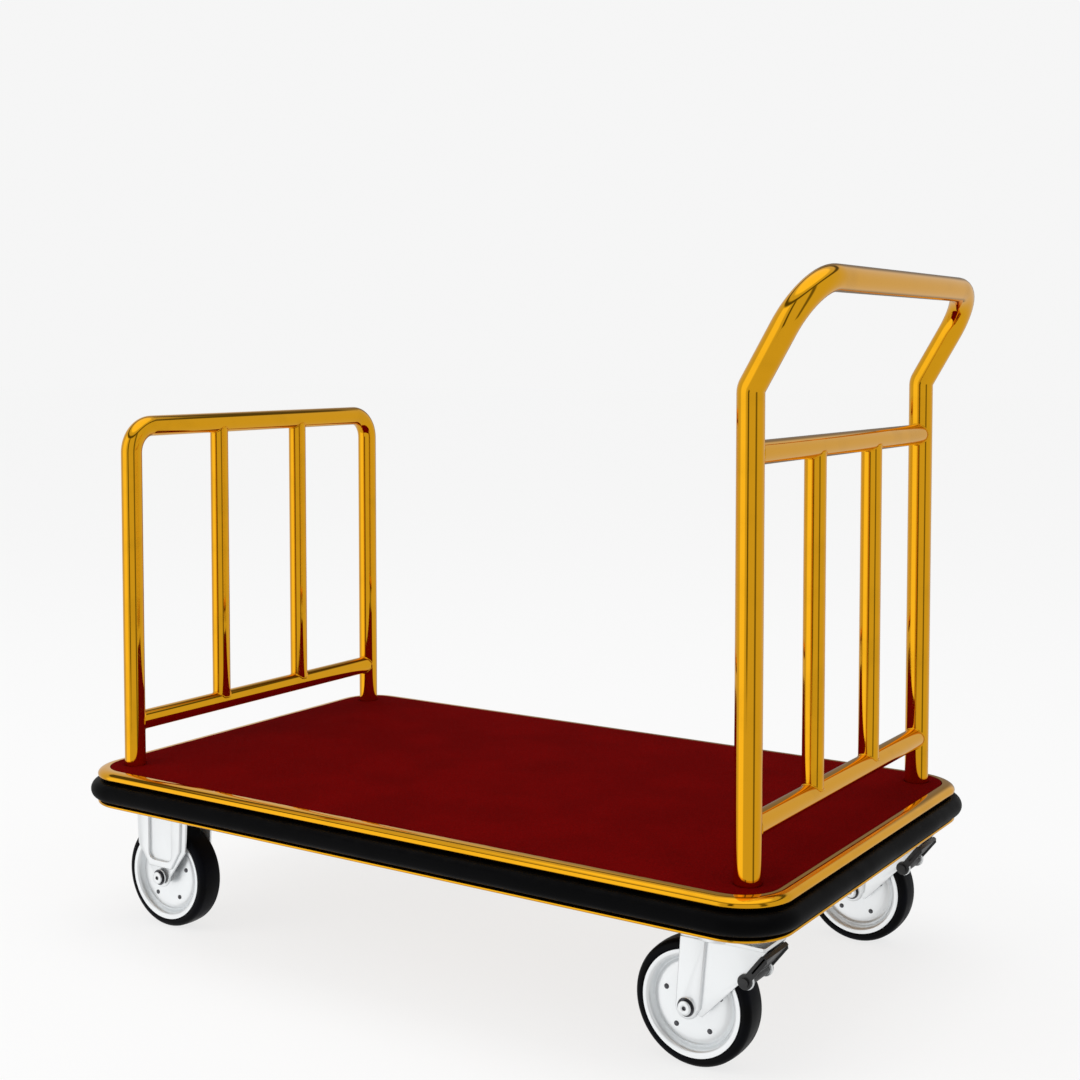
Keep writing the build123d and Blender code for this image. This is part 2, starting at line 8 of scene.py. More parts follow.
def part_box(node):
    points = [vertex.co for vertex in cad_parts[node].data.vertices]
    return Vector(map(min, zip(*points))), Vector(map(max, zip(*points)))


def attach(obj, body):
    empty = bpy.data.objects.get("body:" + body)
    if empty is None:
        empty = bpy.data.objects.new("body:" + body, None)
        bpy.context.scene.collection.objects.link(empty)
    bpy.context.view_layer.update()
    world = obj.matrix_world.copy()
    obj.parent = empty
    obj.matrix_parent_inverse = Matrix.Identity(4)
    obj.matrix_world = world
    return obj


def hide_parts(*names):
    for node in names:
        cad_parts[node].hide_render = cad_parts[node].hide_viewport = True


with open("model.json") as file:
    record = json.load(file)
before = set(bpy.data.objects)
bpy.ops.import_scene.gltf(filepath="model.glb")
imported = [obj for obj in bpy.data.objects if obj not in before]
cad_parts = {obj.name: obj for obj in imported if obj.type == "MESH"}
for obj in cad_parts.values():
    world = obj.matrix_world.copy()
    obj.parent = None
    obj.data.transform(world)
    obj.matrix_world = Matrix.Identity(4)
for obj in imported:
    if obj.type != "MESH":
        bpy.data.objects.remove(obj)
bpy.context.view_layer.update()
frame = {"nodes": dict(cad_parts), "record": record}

bl_info = {
    "name": "Hotel luggage cart",
    "version": (1, 0, 0),
    "blender": (4, 5, 0),
    "location": "3D View > Sidebar > Luggage Cart",
    "description": "Dresses a hotel luggage cart: gold tube, red carpet, rubber bumper and casters",
    "category": "Add Mesh",
}

MM = 0.001
SIDES = {"left": -1, "right": 1}
ENDS = ("rear", "front")


# ---------------------------------------------------------------- places read from the frame
def box_middle(node):
    low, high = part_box(node)
    return (low + high) / 2


def box_size(node):
    low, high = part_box(node)
    return high - low


# ---------------------------------------------------------------- settings
class CartFinish(bpy.types.PropertyGroup):
    gold: bpy.props.FloatVectorProperty(
        name="Gold", description="Colour of the polished gold metal", subtype="COLOR", size=3,
        min=0, max=1, default=(0.86, 0.41, 0.012))
    carpet: bpy.props.FloatVectorProperty(
        name="Carpet", description="Colour of the carpet's pile", subtype="COLOR", size=3,
        min=0, max=1, default=(0.135, 0.0008, 0.0008))
    rubber: bpy.props.FloatVectorProperty(
        name="Rubber", description="Colour of the bumper and tyres", subtype="COLOR", size=3,
        min=0, max=1, default=(0.0012, 0.0012, 0.0015))
    zinc: bpy.props.FloatVectorProperty(
        name="Zinc", description="Colour of the plated wheels and forks", subtype="COLOR", size=3,
        min=0, max=1, default=(0.86, 0.88, 0.89))
    plywood: bpy.props.FloatVectorProperty(
        name="Plywood", description="Colour of the board under the carpet", subtype="COLOR", size=3,
        min=0, max=1, default=(0.42, 0.27, 0.14))
    paint: bpy.props.FloatVectorProperty(
        name="Frame paint", description="Colour of the painted underframe", subtype="COLOR", size=3,
        min=0, max=1, default=(0.012, 0.012, 0.013))


class CartSizes(bpy.types.PropertyGroup):
    weld_bead: bpy.props.FloatProperty(
        name="Weld bead", description="Radius of the polished bead where two tubes meet",
        subtype="DISTANCE", unit="LENGTH", default=1.3 * MM)
    kink_radius: bpy.props.FloatProperty(
        name="Kink radius", description="Centreline radius of the handle's outward kink",
        subtype="DISTANCE", unit="LENGTH", default=18 * MM)
    grip_radius: bpy.props.FloatProperty(
        name="Grip bend radius", description="Centreline radius of the bends at the grip bar",
        subtype="DISTANCE", unit="LENGTH", default=65 * MM)
    rail_radius: bpy.props.FloatProperty(
        name="Rail bend radius", description="Centreline radius of the front rail's top bends",
        subtype="DISTANCE", unit="LENGTH", default=38 * MM)
    pile: bpy.props.FloatProperty(
        name="Pile", description="How far the carpet's pile rises and falls",
        subtype="DISTANCE", unit="LENGTH", default=0.35 * MM)

# ---------------------------------------------------------------- node trees
def new_tree(name, inputs, outputs):
    """A shader node group with named sockets, each given as (name, kind, default)."""
    tree = bpy.data.node_groups.new(name, "ShaderNodeTree")
    for label, kind, value in inputs:
        socket = tree.interface.new_socket(label, in_out="INPUT", socket_type=kind)
        socket.default_value = value
    for label, kind in outputs:
        tree.interface.new_socket(label, in_out="OUTPUT", socket_type=kind)
    return tree, tree.nodes.new("NodeGroupInput"), tree.nodes.new("NodeGroupOutput")


def add(tree, kind, **settings):
    node = tree.nodes.new(kind)
    for key, value in settings.items():
        setattr(node, key, value)
    return node


def set_inputs(node, **values):
    for key, value in values.items():
        node.inputs[key.replace("_", " ")].default_value = value
    return node


def math_node(tree, operation, first, second=None):
    """A Math node fed by sockets or plain numbers; gives back its output."""
    node = add(tree, "ShaderNodeMath", operation=operation)
    for index, value in enumerate((first, second)):
        if value is None:
            continue
        if isinstance(value, bpy.types.NodeSocket):
            tree.links.new(value, node.inputs[index])
        else:
            node.inputs[index].default_value = value
    return node.outputs[0]


def object_noise(tree, scale, detail=3.0, stretch=(1, 1, 1), distortion=0.0):
    """Noise fixed to the object; scale is a socket or a number per metre."""
    place = add(tree, "ShaderNodeTexCoord")
    mapping = add(tree, "ShaderNodeMapping")
    mapping.inputs["Scale"].default_value = stretch
    noise = add(tree, "ShaderNodeTexNoise")
    noise.inputs["Detail"].default_value = detail
    noise.inputs["Distortion"].default_value = distortion
    tree.links.new(place.outputs["Object"], mapping.inputs["Vector"])
    tree.links.new(mapping.outputs["Vector"], noise.inputs["Vector"])
    if isinstance(scale, bpy.types.NodeSocket):
        tree.links.new(scale, noise.inputs["Scale"])
    else:
        noise.inputs["Scale"].default_value = scale
    return noise.outputs["Fac"]


def spread(tree, value, low, high, out_low, out_high):
    node = add(tree, "ShaderNodeMapRange", interpolation_type="SMOOTHSTEP")
    tree.links.new(value, node.inputs["Value"])
    for key, number in (("From Min", low), ("From Max", high), ("To Min", out_low), ("To Max", out_high)):
        if isinstance(number, bpy.types.NodeSocket):
            tree.links.new(number, node.inputs[key])
        else:
            node.inputs[key].default_value = number
    return node.outputs["Result"]


def blend_colours(tree, factor, first, second, mode="MIX"):
    node = add(tree, "ShaderNodeMix", data_type="RGBA", blend_type=mode)
    for key, value in ((0, factor), (6, first), (7, second)):
        if isinstance(value, bpy.types.NodeSocket):
            tree.links.new(value, node.inputs[key])
        else:
            node.inputs[key].default_value = value
    return node.outputs[2]


def rgba(colour, factor=1.0):
    return (colour[0] * factor, colour[1] * factor, colour[2] * factor, 1.0)


def smudge_group():
    """Handling marks: patches of slightly higher roughness, with faint hairline scratches."""
    tree, given, result = new_tree(
        "Smudges",
        [("Scale", "NodeSocketFloat", 14.0), ("Clean", "NodeSocketFloat", 0.08),
         ("Smudged", "NodeSocketFloat", 0.18)],
        [("Roughness", "NodeSocketFloat"), ("Mask", "NodeSocketFloat"), ("Height", "NodeSocketFloat")])
    patches = object_noise(tree, given.outputs["Scale"], 4.0, distortion=0.6)
    hairs = object_noise(tree, 900.0, 2.0, stretch=(1.0, 1.0, 0.05))
    mask = spread(tree, patches, 0.48, 0.72, 0.0, 1.0)
    rough = spread(tree, mask, 0.0, 1.0, given.outputs["Clean"], given.outputs["Smudged"])
    hair = math_node(tree, "MULTIPLY", spread(tree, hairs, 0.55, 0.75, 0.0, 1.0), 0.03)
    tree.links.new(math_node(tree, "ADD", rough, hair), result.inputs["Roughness"])
    tree.links.new(mask, result.inputs["Mask"])
    tree.links.new(hairs, result.inputs["Height"])
    return tree


def grain_group():
    """Fine even grain for moulded rubber and paint, with broad patches for tone."""
    tree, given, result = new_tree(
        "Grain",
        [("Fine Scale", "NodeSocketFloat", 900.0), ("Patch Scale", "NodeSocketFloat", 20.0)],
        [("Fine", "NodeSocketFloat"), ("Patches", "NodeSocketFloat")])
    tree.links.new(object_noise(tree, given.outputs["Fine Scale"], 2.0), result.inputs["Fine"])
    patches = object_noise(tree, given.outputs["Patch Scale"], 4.0)
    tree.links.new(spread(tree, patches, 0.35, 0.65, 0.0, 1.0), result.inputs["Patches"])
    return tree


def dust_group():
    """Dust that gathers on surfaces that face up, broken by noise."""
    tree, given, result = new_tree(
        "Dust", [("Amount", "NodeSocketFloat", 0.3)], [("Mask", "NodeSocketFloat")])
    facing = add(tree, "ShaderNodeNewGeometry")
    parts = add(tree, "ShaderNodeSeparateXYZ")
    tree.links.new(facing.outputs["Normal"], parts.inputs["Vector"])
    upward = spread(tree, parts.outputs["Z"], 0.2, 1.0, 0.0, 1.0)
    broken = spread(tree, object_noise(tree, 60.0, 5.0), 0.4, 0.7, 0.0, 1.0)
    settled = math_node(tree, "MULTIPLY", upward, broken)
    tree.links.new(math_node(tree, "MULTIPLY", settled, given.outputs["Amount"]), result.inputs["Mask"])
    return tree


def shared(name):
    """The node group of that name, built once."""
    builders = {"Smudges": smudge_group, "Grain": grain_group, "Dust": dust_group}
    return bpy.data.node_groups.get(name) or builders[name]()


def use_group(tree, name, **values):
    node = add(tree, "ShaderNodeGroup", node_tree=shared(name))
    return set_inputs(node, **values)


def new_material(name):
    material = bpy.data.materials.new(name)
    material.use_nodes = True
    tree = material.node_tree
    return material, tree, tree.nodes["Principled BSDF"]


def bump(tree, height, shader, strength, distance):
    node = add(tree, "ShaderNodeBump")
    node.inputs["Strength"].default_value = strength
    node.inputs["Distance"].default_value = distance
    tree.links.new(height, node.inputs["Height"])
    tree.links.new(node.outputs["Normal"], shader.inputs["Normal"])


# ---------------------------------------------------------------- materials
def gold_metal():
    material, tree, shader = new_material("polished_gold")
    gold = finish().gold
    shader.inputs["Metallic"].default_value = 1.0
    marks = use_group(tree, "Smudges", Scale=16.0, Clean=0.045, Smudged=0.12)
    tint = blend_colours(tree, marks.outputs["Mask"], rgba(gold), rgba(gold, 0.92))
    tree.links.new(tint, shader.inputs["Base Color"])
    tree.links.new(marks.outputs["Roughness"], shader.inputs["Roughness"])
    bump(tree, marks.outputs["Height"], shader, 0.02, 0.0001)
    return material


def carpet_pile():
    material, tree, shader = new_material("red_pile")
    red = finish().carpet
    grain = use_group(tree, "Grain", Fine_Scale=420.0, Patch_Scale=9.0)
    pile = blend_colours(tree, grain.outputs["Fine"], rgba(red, 0.62), rgba(red, 1.3))
    tone = blend_colours(tree, grain.outputs["Patches"], rgba((0.86, 0.86, 0.86)), rgba((1, 1, 1)))
    tree.links.new(blend_colours(tree, 1.0, pile, tone, "MULTIPLY"), shader.inputs["Base Color"])
    shader.inputs["Roughness"].default_value = 1.0
    shader.inputs["Specular IOR Level"].default_value = 0.015
    bump(tree, grain.outputs["Fine"], shader, 0.6, 0.0008)
    return material


def black_rubber():
    material, tree, shader = new_material("bumper_rubber")
    rubber = finish().rubber
    grain = use_group(tree, "Grain", Fine_Scale=1500.0, Patch_Scale=12.0)
    dust = use_group(tree, "Dust", Amount=0.015)
    tint = blend_colours(tree, dust.outputs["Mask"], rgba(rubber), (0.10, 0.095, 0.09, 1))
    tree.links.new(tint, shader.inputs["Base Color"])
    tree.links.new(spread(tree, grain.outputs["Patches"], 0.0, 1.0, 0.42, 0.52), shader.inputs["Roughness"])
    shader.inputs["Specular IOR Level"].default_value = 0.04
    bump(tree, grain.outputs["Fine"], shader, 0.15, 0.0002)
    return material


def tyre_rubber():
    material, tree, shader = new_material("tyre_rubber")
    rubber = finish().rubber
    grain = use_group(tree, "Grain", Fine_Scale=1100.0, Patch_Scale=30.0)
    # Black rubber with patches of a faint bluish tone; the bluish tone is a painted highlight, the tread's
    # bluish sheen.
    tint = blend_colours(tree, grain.outputs["Patches"], rgba(rubber), rgba((0.002, 0.0024, 0.0045)))
    tree.links.new(tint, shader.inputs["Base Color"])
    tree.links.new(spread(tree, grain.outputs["Patches"], 0.0, 1.0, 0.36, 0.5), shader.inputs["Roughness"])
    shader.inputs["Specular IOR Level"].default_value = 0.06
    bump(tree, grain.outputs["Fine"], shader, 0.2, 0.0002)
    return material


def zinc_plate():
    material, tree, shader = new_material("zinc_plate")
    zinc = finish().zinc
    marks = use_group(tree, "Smudges", Scale=12.0, Clean=0.30, Smudged=0.34)
    tint = blend_colours(tree, marks.outputs["Mask"], rgba(zinc), rgba(zinc, 0.97))
    tree.links.new(tint, shader.inputs["Base Color"])
    shader.inputs["Metallic"].default_value = 0.8
    tree.links.new(marks.outputs["Roughness"], shader.inputs["Roughness"])
    bump(tree, marks.outputs["Height"], shader, 0.02, 0.00005)
    return material


def turned_steel():
    material, tree, shader = new_material("turned_steel")
    marks = use_group(tree, "Smudges", Scale=60.0, Clean=0.22, Smudged=0.4)
    tint = blend_colours(tree, marks.outputs["Mask"], rgba((0.42, 0.43, 0.44)), rgba((0.33, 0.33, 0.34)))
    tree.links.new(tint, shader.inputs["Base Color"])
    shader.inputs["Metallic"].default_value = 1.0
    tree.links.new(marks.outputs["Roughness"], shader.inputs["Roughness"])
    return material


# Dark metal for the wheels' rivets, also laid on the axle bolts' dimples and washer rings as painted shade.
def dark_rivet_and_painted_shade():
    material, tree, shader = new_material("dark_rivet_and_painted_shade")
    marks = use_group(tree, "Smudges", Scale=200.0, Clean=0.35, Smudged=0.55)
    tint = blend_colours(tree, marks.outputs["Mask"], rgba((0.10, 0.10, 0.11)), rgba((0.06, 0.06, 0.06)))
    tree.links.new(tint, shader.inputs["Base Color"])
    shader.inputs["Metallic"].default_value = 0.9
    tree.links.new(marks.outputs["Roughness"], shader.inputs["Roughness"])
    return material


def frame_paint():
    material, tree, shader = new_material("frame_paint")
    paint = finish().paint
    grain = use_group(tree, "Grain", Fine_Scale=700.0, Patch_Scale=25.0)
    dust = use_group(tree, "Dust", Amount=0.25)
    tint = blend_colours(tree, dust.outputs["Mask"], rgba(paint), (0.09, 0.08, 0.07, 1))
    tree.links.new(tint, shader.inputs["Base Color"])
    tree.links.new(spread(tree, grain.outputs["Patches"], 0.0, 1.0, 0.38, 0.55), shader.inputs["Roughness"])
    bump(tree, grain.outputs["Fine"], shader, 0.2, 0.0002)
    return material


def plywood():
    material, tree, shader = new_material("plywood")
    wood = finish().plywood
    rings = add(tree, "ShaderNodeTexWave", wave_type="BANDS", bands_direction="Y")
    place = add(tree, "ShaderNodeTexCoord")
    tree.links.new(place.outputs["Object"], rings.inputs["Vector"])
    set_inputs(rings, Scale=14.0, Distortion=9.0, Detail=3.0, Detail_Scale=0.8)
    fibre = object_noise(tree, 260.0, 4.0, stretch=(0.05, 1.0, 1.0))
    figure = blend_colours(tree, rings.outputs["Fac"], rgba(wood, 0.78), rgba(wood, 1.15))
    fleck = spread(tree, fibre, 0.35, 0.65, 0.82, 1.05)
    shade = add(tree, "ShaderNodeCombineColor")
    for key in ("Red", "Green", "Blue"):
        tree.links.new(fleck, shade.inputs[key])
    plywood = blend_colours(tree, 1.0, figure, shade.outputs["Color"], "MULTIPLY")
    tree.links.new(plywood, shader.inputs["Base Color"])
    tree.links.new(spread(tree, fibre, 0.3, 0.7, 0.55, 0.75), shader.inputs["Roughness"])
    bump(tree, fibre, shader, 0.25, 0.0004)
    return material


MATERIALS = {
    "gold": gold_metal, "carpet": carpet_pile, "rubber": black_rubber,
    "tyre": tyre_rubber, "zinc": zinc_plate,
    "steel": turned_steel, "rivet": dark_rivet_and_painted_shade, "paint": frame_paint, "plywood": plywood,
}
made = {}


def material(name):
    """The material of that name, built once."""
    if name not in made:
        made[name] = MATERIALS[name]()
    return made[name]


def finish():
    return bpy.context.scene.cart_finish


def sizes():
    return bpy.context.scene.cart_sizes


# ---------------------------------------------------------------- mesh helpers
def mesh_piece(name, verts, faces, finish_name, smooth=True):
    mesh = bpy.data.meshes.new(name)
    mesh.from_pydata([tuple(v) for v in verts], [], faces)
    mesh.validate()
    mesh.update()
    for polygon in mesh.polygons:
        polygon.use_smooth = smooth
    piece = bpy.data.objects.new(name, mesh)
    bpy.context.scene.collection.objects.link(piece)
    mesh.materials.append(material(finish_name))
    return piece


def apply_modifiers(piece):
    """Puts the modifiers' result into the mesh, so the piece needs none."""
    graph = bpy.context.evaluated_depsgraph_get()
    final = bpy.data.meshes.new_from_object(piece.evaluated_get(graph))
    piece.modifiers.clear()
    piece.data = final
    return piece


def join(name, pieces):
    """One object out of several, with all their faces and materials."""
    with bpy.context.temp_override(active_object=pieces[0], selected_editable_objects=pieces,
                                   selected_objects=pieces, object=pieces[0]):
        bpy.ops.object.join()
    pieces[0].name = name
    pieces[0].data.name = name
    return pieces[0]


def shade_by_angle(piece, degrees=40):
    """Smooth faces, but crisp edges where the surface turns sharply."""
    limit = math.radians(degrees)
    mesh = piece.data
    normals = [p.normal.copy() for p in mesh.polygons]
    sides = {}
    for polygon in mesh.polygons:
        for key in polygon.edge_keys:
            sides.setdefault(key, []).append(polygon.index)
    for edge in mesh.edges:
        faces = sides.get(tuple(sorted(edge.vertices)), [])
        edge.use_edge_sharp = len(faces) != 2 or normals[faces[0]].angle(normals[faces[1]], 0) > limit
    return piece


def stand_for(piece, body, slot, *nodes):
    """The piece rides on a body and stands for CAD nodes, which it hides; the slot is not used."""
    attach(piece, body)
    if nodes:
        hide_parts(*nodes)
    return piece


def arc_points(corner, before, after, radius, steps):
    """Points of the arc that rounds a corner between two neighbours."""
    to_before = (before - corner).normalized()
    to_after = (after - corner).normalized()
    turn = math.pi - to_before.angle(to_after)
    reach = radius * math.tan(turn / 2)
    middle = corner + (to_before + to_after).normalized() * radius / math.cos(turn / 2)
    start = corner + to_before * reach - middle
    end = corner + to_after * reach - middle
    axis = start.cross(end).normalized()
    return [middle + Matrix.Rotation(turn * i / steps, 3, axis) @ start for i in range(steps + 1)]


def rounded_path(points, radii, steps=14):
    """A polyline with each inner corner replaced by an arc."""
    path = [points[0]]
    for i, radius in enumerate(radii, start=1):
        path += arc_points(points[i], points[i - 1], points[i + 1], radius, steps)
    return path + [points[-1]]


def tube_along(path, radius, sides=56):
    """Vertices and faces of a round tube along a path, closed at both ends."""
    verts = []
    tangents = []
    for i, point in enumerate(path):
        ahead = path[min(i + 1, len(path) - 1)] - point
        behind = point - path[max(i - 1, 0)]
        tangents.append((ahead.normalized() + behind.normalized()).normalized())
    across = tangents[0].orthogonal().normalized()
    for point, along in zip(path, tangents):
        across = (across - along * across.dot(along)).normalized()
        other = along.cross(across)
        for k in range(sides):
            angle = 2 * math.pi * k / sides
            verts.append(point + (across * math.cos(angle) + other * math.sin(angle)) * radius)
    faces = []
    for ring in range(len(path) - 1):
        for k in range(sides):
            a, b = ring * sides + k, ring * sides + (k + 1) % sides
            faces.append((a, b, b + sides, a + sides))
    faces.append(tuple(reversed(range(sides))))
    last = (len(path) - 1) * sides
    faces.append(tuple(range(last, last + sides)))
    return verts, faces


def about_axle(radius, angle, along):
    """A place about an axle that lies along Y."""
    return Vector((radius * math.cos(angle), along, radius * math.sin(angle)))


def turned(profile, centre, steps=96):
    """Vertices and faces of a closed (radius, along) profile turned about the axle."""
    verts, faces = [], []
    count = len(profile)
    for i in range(steps):
        angle = 2 * math.pi * i / steps
        verts += [centre + about_axle(radius, angle, along) for radius, along in profile]
        here, there = i * count, (i + 1) % steps * count
        for k in range(count):
            after = (k + 1) % count
            faces.append((here + k, there + k, there + after, here + after))
    return verts, faces


def solid_turned(profile, centre, steps=64):
    """As turned, for an open profile that starts and ends on the axis itself."""
    verts = [centre + about_axle(0, 0, profile[0][1]), centre + about_axle(0, 0, profile[-1][1])]
    faces = []
    inner = profile[1:-1]
    count = len(inner)
    for i in range(steps):
        angle = 2 * math.pi * i / steps
        verts += [centre + about_axle(radius, angle, along) for radius, along in inner]
        here, there = 2 + i * count, 2 + (i + 1) % steps * count
        for k in range(count - 1):
            faces.append((here + k, there + k, there + k + 1, here + k + 1))
        faces.append((0, there, here))
        faces.append((1, here + count - 1, there + count - 1))
    return verts, faces


def fix_normals(piece):
    """Turns all faces outward."""
    work = bmesh.new()
    work.from_mesh(piece.data)
    bmesh.ops.recalc_face_normals(work, faces=work.faces)
    work.to_mesh(piece.data)
    work.free()
    return piece


# ---------------------------------------------------------------- tubes
def handle_route():
    """Corners of the handle's centreline, from one foot to the other, from the frame's own boxes."""
    low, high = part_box("handle_hoop")
    radius = HANDLE_RADIUS
    post_x = box_middle("handle_lower_bar").x
    post_y = high.y - radius
    top = Vector((high.x - radius, 0, high.z - radius))
    kink_z = top.z - (top.x - post_x) * HANDLE_SLOPE
    return [
        Vector((post_x, -post_y, low.z)), Vector((post_x, -post_y, kink_z)), Vector((top.x, -post_y, top.z)),
        Vector((top.x, post_y, top.z)), Vector((post_x, post_y, kink_z)), Vector((post_x, post_y, low.z)),
    ]


def tube_radius(node):
    """Outer radius of a tube: half its box's smallest side, but for the handle, which kinks."""
    if node == "handle_hoop":
        return HANDLE_RADIUS
    return min(box_size(node)) / 2


HANDLE_RADIUS = 16 * MM
# The handle's slant: its rise over its reach beyond the posts.
HANDLE_SLOPE = 124 / 72


def rail_route():
    low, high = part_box("rail_hoop")
    radius = tube_radius("rail_hoop")
    x = (low.x + high.x) / 2
    y, top = high.y - radius, high.z - radius
    return [Vector((x, -y, low.z)), Vector((x, -y, top)), Vector((x, y, top)), Vector((x, y, low.z))]


def subdivided(path, pitch=60 * MM):
    """The same path with long straight runs cut into shorter ones."""
    result = [path[0]]
    for start, end in zip(path, path[1:]):
        cuts = max(1, round((end - start).length / pitch))
        result += [start.lerp(end, i / cuts) for i in range(1, cuts + 1)]
    return result


def make_tube(node, path):
    verts, faces = tube_along(subdivided(path), tube_radius(node))
    piece = mesh_piece(f"{node}_tube", verts, faces, "gold")
    shade_by_angle(piece, 50)
    return piece


def ring_bead(name, points, radius, sides=10):
    """A closed bead of weld along a loop of points."""
    verts, faces = [], []
    count = len(points)
    middle = sum(points, Vector()) / count
    for i, point in enumerate(points):
        along = (points[(i + 1) % count] - points[i - 1]).normalized()
        outward = point - middle
        outward = (outward - along * outward.dot(along)).normalized()
        other = along.cross(outward)
        for k in range(sides):
            angle = 2 * math.pi * k / sides
            verts.append(point + (outward * math.cos(angle) + other * math.sin(angle)) * radius)
    for i in range(count):
        for k in range(sides):
            a, b = i * sides + k, i * sides + (k + 1) % sides
            c, d = ((i + 1) % count) * sides + (k + 1) % sides, ((i + 1) % count) * sides + k
            faces.append((a, b, c, d))
    return fix_normals(mesh_piece(name, verts, faces, "gold"))


def saddle_depth(wall_radius, sideways):
    """How far from a crossed tube's centreline its wall lies, sideways from the middle."""
    least = SADDLE_SHARE * wall_radius
    return math.sqrt(max(wall_radius ** 2 - sideways ** 2, least ** 2))


SADDLE_SHARE = 0.45


def saddled_tube(node, start, end, wall_radii, across, sides=56):
    """Straight tube whose ends are cut to fit round the two tubes that it meets."""
    radius = tube_radius(node)
    along = (end - start).normalized()
    third = along.cross(across)
    spokes = []
    for k in range(sides):
        angle = 2 * math.pi * k / sides
        spokes.append((radius * math.cos(angle), radius * math.sin(angle)))
    low = [start + across * u + third * v + along * saddle_depth(wall_radii[0], v) for u, v in spokes]
    high = [end + across * u + third * v - along * saddle_depth(wall_radii[1], v) for u, v in spokes]
    verts, faces = [], []
    rings = max(2, round((end - start).length / (60 * MM)))
    for i in range(rings + 1):
        verts += [a.lerp(b, i / rings) for a, b in zip(low, high)]
    for ring in range(rings):
        for k in range(sides):
            a, b = ring * sides + k, ring * sides + (k + 1) % sides
            faces.append((a, b, b + sides, a + sides))
    verts += [start + along * wall_radii[0], end - along * wall_radii[1]]
    last = rings * sides
    for k in range(sides):
        faces.append(((k + 1) % sides, k, len(verts) - 2))
        faces.append((last + k, last + (k + 1) % sides, len(verts) - 1))
    tube = shade_by_angle(fix_normals(mesh_piece(f"{node}_tube", verts, faces, "gold")), 50)
    beads = []
    for label, ring in (("low", low), ("high", high)):
        beads.append(ring_bead(f"{node}_{label}_weld", ring, sizes().weld_bead))
    return join(f"{node}_tube", [tube] + beads)


def make_cross_bar(node, hoop):
    middle = box_middle(node)
    wall = tube_radius(hoop)
    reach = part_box(hoop)[1].y - wall
    start, end = Vector((middle.x, -reach, middle.z)), Vector((middle.x, reach, middle.z))
    return saddled_tube(node, start, end, (wall, wall), Vector((0, 0, 1)))


def make_upright(node, lower, upper):
    """Upright between a lower bar and the bar or hoop above it."""
    middle = box_middle(node)
    low_z = box_middle(lower).z
    if upper == "rail_hoop":
        high_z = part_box(upper)[1].z - tube_radius(upper)
    else:
        high_z = box_middle(upper).z
    start, end = Vector((middle.x, middle.y, low_z)), Vector((middle.x, middle.y, high_z))
    return saddled_tube(node, start, end, (tube_radius(lower), tube_radius(upper)), Vector((0, 1, 0)))


# ---------------------------------------------------------------- deck edge
def deck_half_sizes():
    """Half length and half width of the deck inside the gold band."""
    size = box_size("edge_channel") / 2
    return size.x - BAND_REACH, size.y - BAND_REACH


BAND_REACH = 17 * MM
BUMPER_REACH = 27 * MM
BAND_SHEET = 3 * MM
BUMPER_BACK = 10 * MM
CORNER_RADIUS = 50 * MM


def loop_stations(corner_steps=28):
    """Places round the deck's edge at no offset: (point, outward direction)."""
    half_x, half_y = deck_half_sizes()
    centre_x = box_middle("edge_channel").x
    stations = []
    for quarter, (sx, sy) in enumerate(((1, 1), (-1, 1), (-1, -1), (1, -1))):
        hub = Vector((centre_x + sx * (half_x - CORNER_RADIUS), sy * (half_y - CORNER_RADIUS), 0))
        for i in range(corner_steps + 1):
            angle = math.pi / 2 * (quarter + i / corner_steps)
            outward = Vector((math.cos(angle), math.sin(angle), 0))
            stations.append((hub + outward * CORNER_RADIUS, outward))
    return stations


def ring_sweep(name, profile, finish_name):
    """Carries a closed (outward, up) profile right round the deck's edge."""
    stations = loop_stations()
    verts, faces = [], []
    for point, outward in stations:
        verts += [point + outward * out + Vector((0, 0, up)) for out, up in profile]
    count = len(profile)
    for i in range(len(stations)):
        j = (i + 1) % len(stations)
        for k in range(count):
            m = (k + 1) % count
            faces.append((i * count + k, j * count + k, j * count + m, i * count + m))
    return shade_by_angle(fix_normals(mesh_piece(name, verts, faces, finish_name)), 35)


def half_ellipse(centre_out, centre_up, depth, height, steps=22):
    """Points of a bulge from its lower root, out round its nose, to its upper root."""
    points = []
    for i in range(steps + 1):
        angle = math.pi * (i / steps - 0.5)
        points.append((centre_out + depth * math.cos(angle), centre_up + height / 2 * math.sin(angle)))
    return points


def make_band():
    low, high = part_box("edge_channel")
    bumper_low, bumper_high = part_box("bumper")
    web = BAND_SHEET
    lower = half_ellipse(web, (low.z + bumper_low.z) / 2, BAND_REACH - web, bumper_low.z - low.z)
    upper = half_ellipse(web, (high.z + bumper_high.z) / 2, BAND_REACH - web, high.z - bumper_high.z, 30)
    profile = [(0, low.z)] + lower + upper + [(0, high.z)]
    return ring_sweep("gold_band", profile, "gold")


def make_bumper():
    low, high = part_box("bumper")
    back, flat = BAND_SHEET, BAND_SHEET + BUMPER_BACK
    nose = half_ellipse(flat, (low.z + high.z) / 2, BUMPER_REACH - flat, high.z - low.z, 34)
    profile = [(back, low.z)] + nose + [(back, high.z)]
    return ring_sweep("rubber_bumper", profile, "rubber")


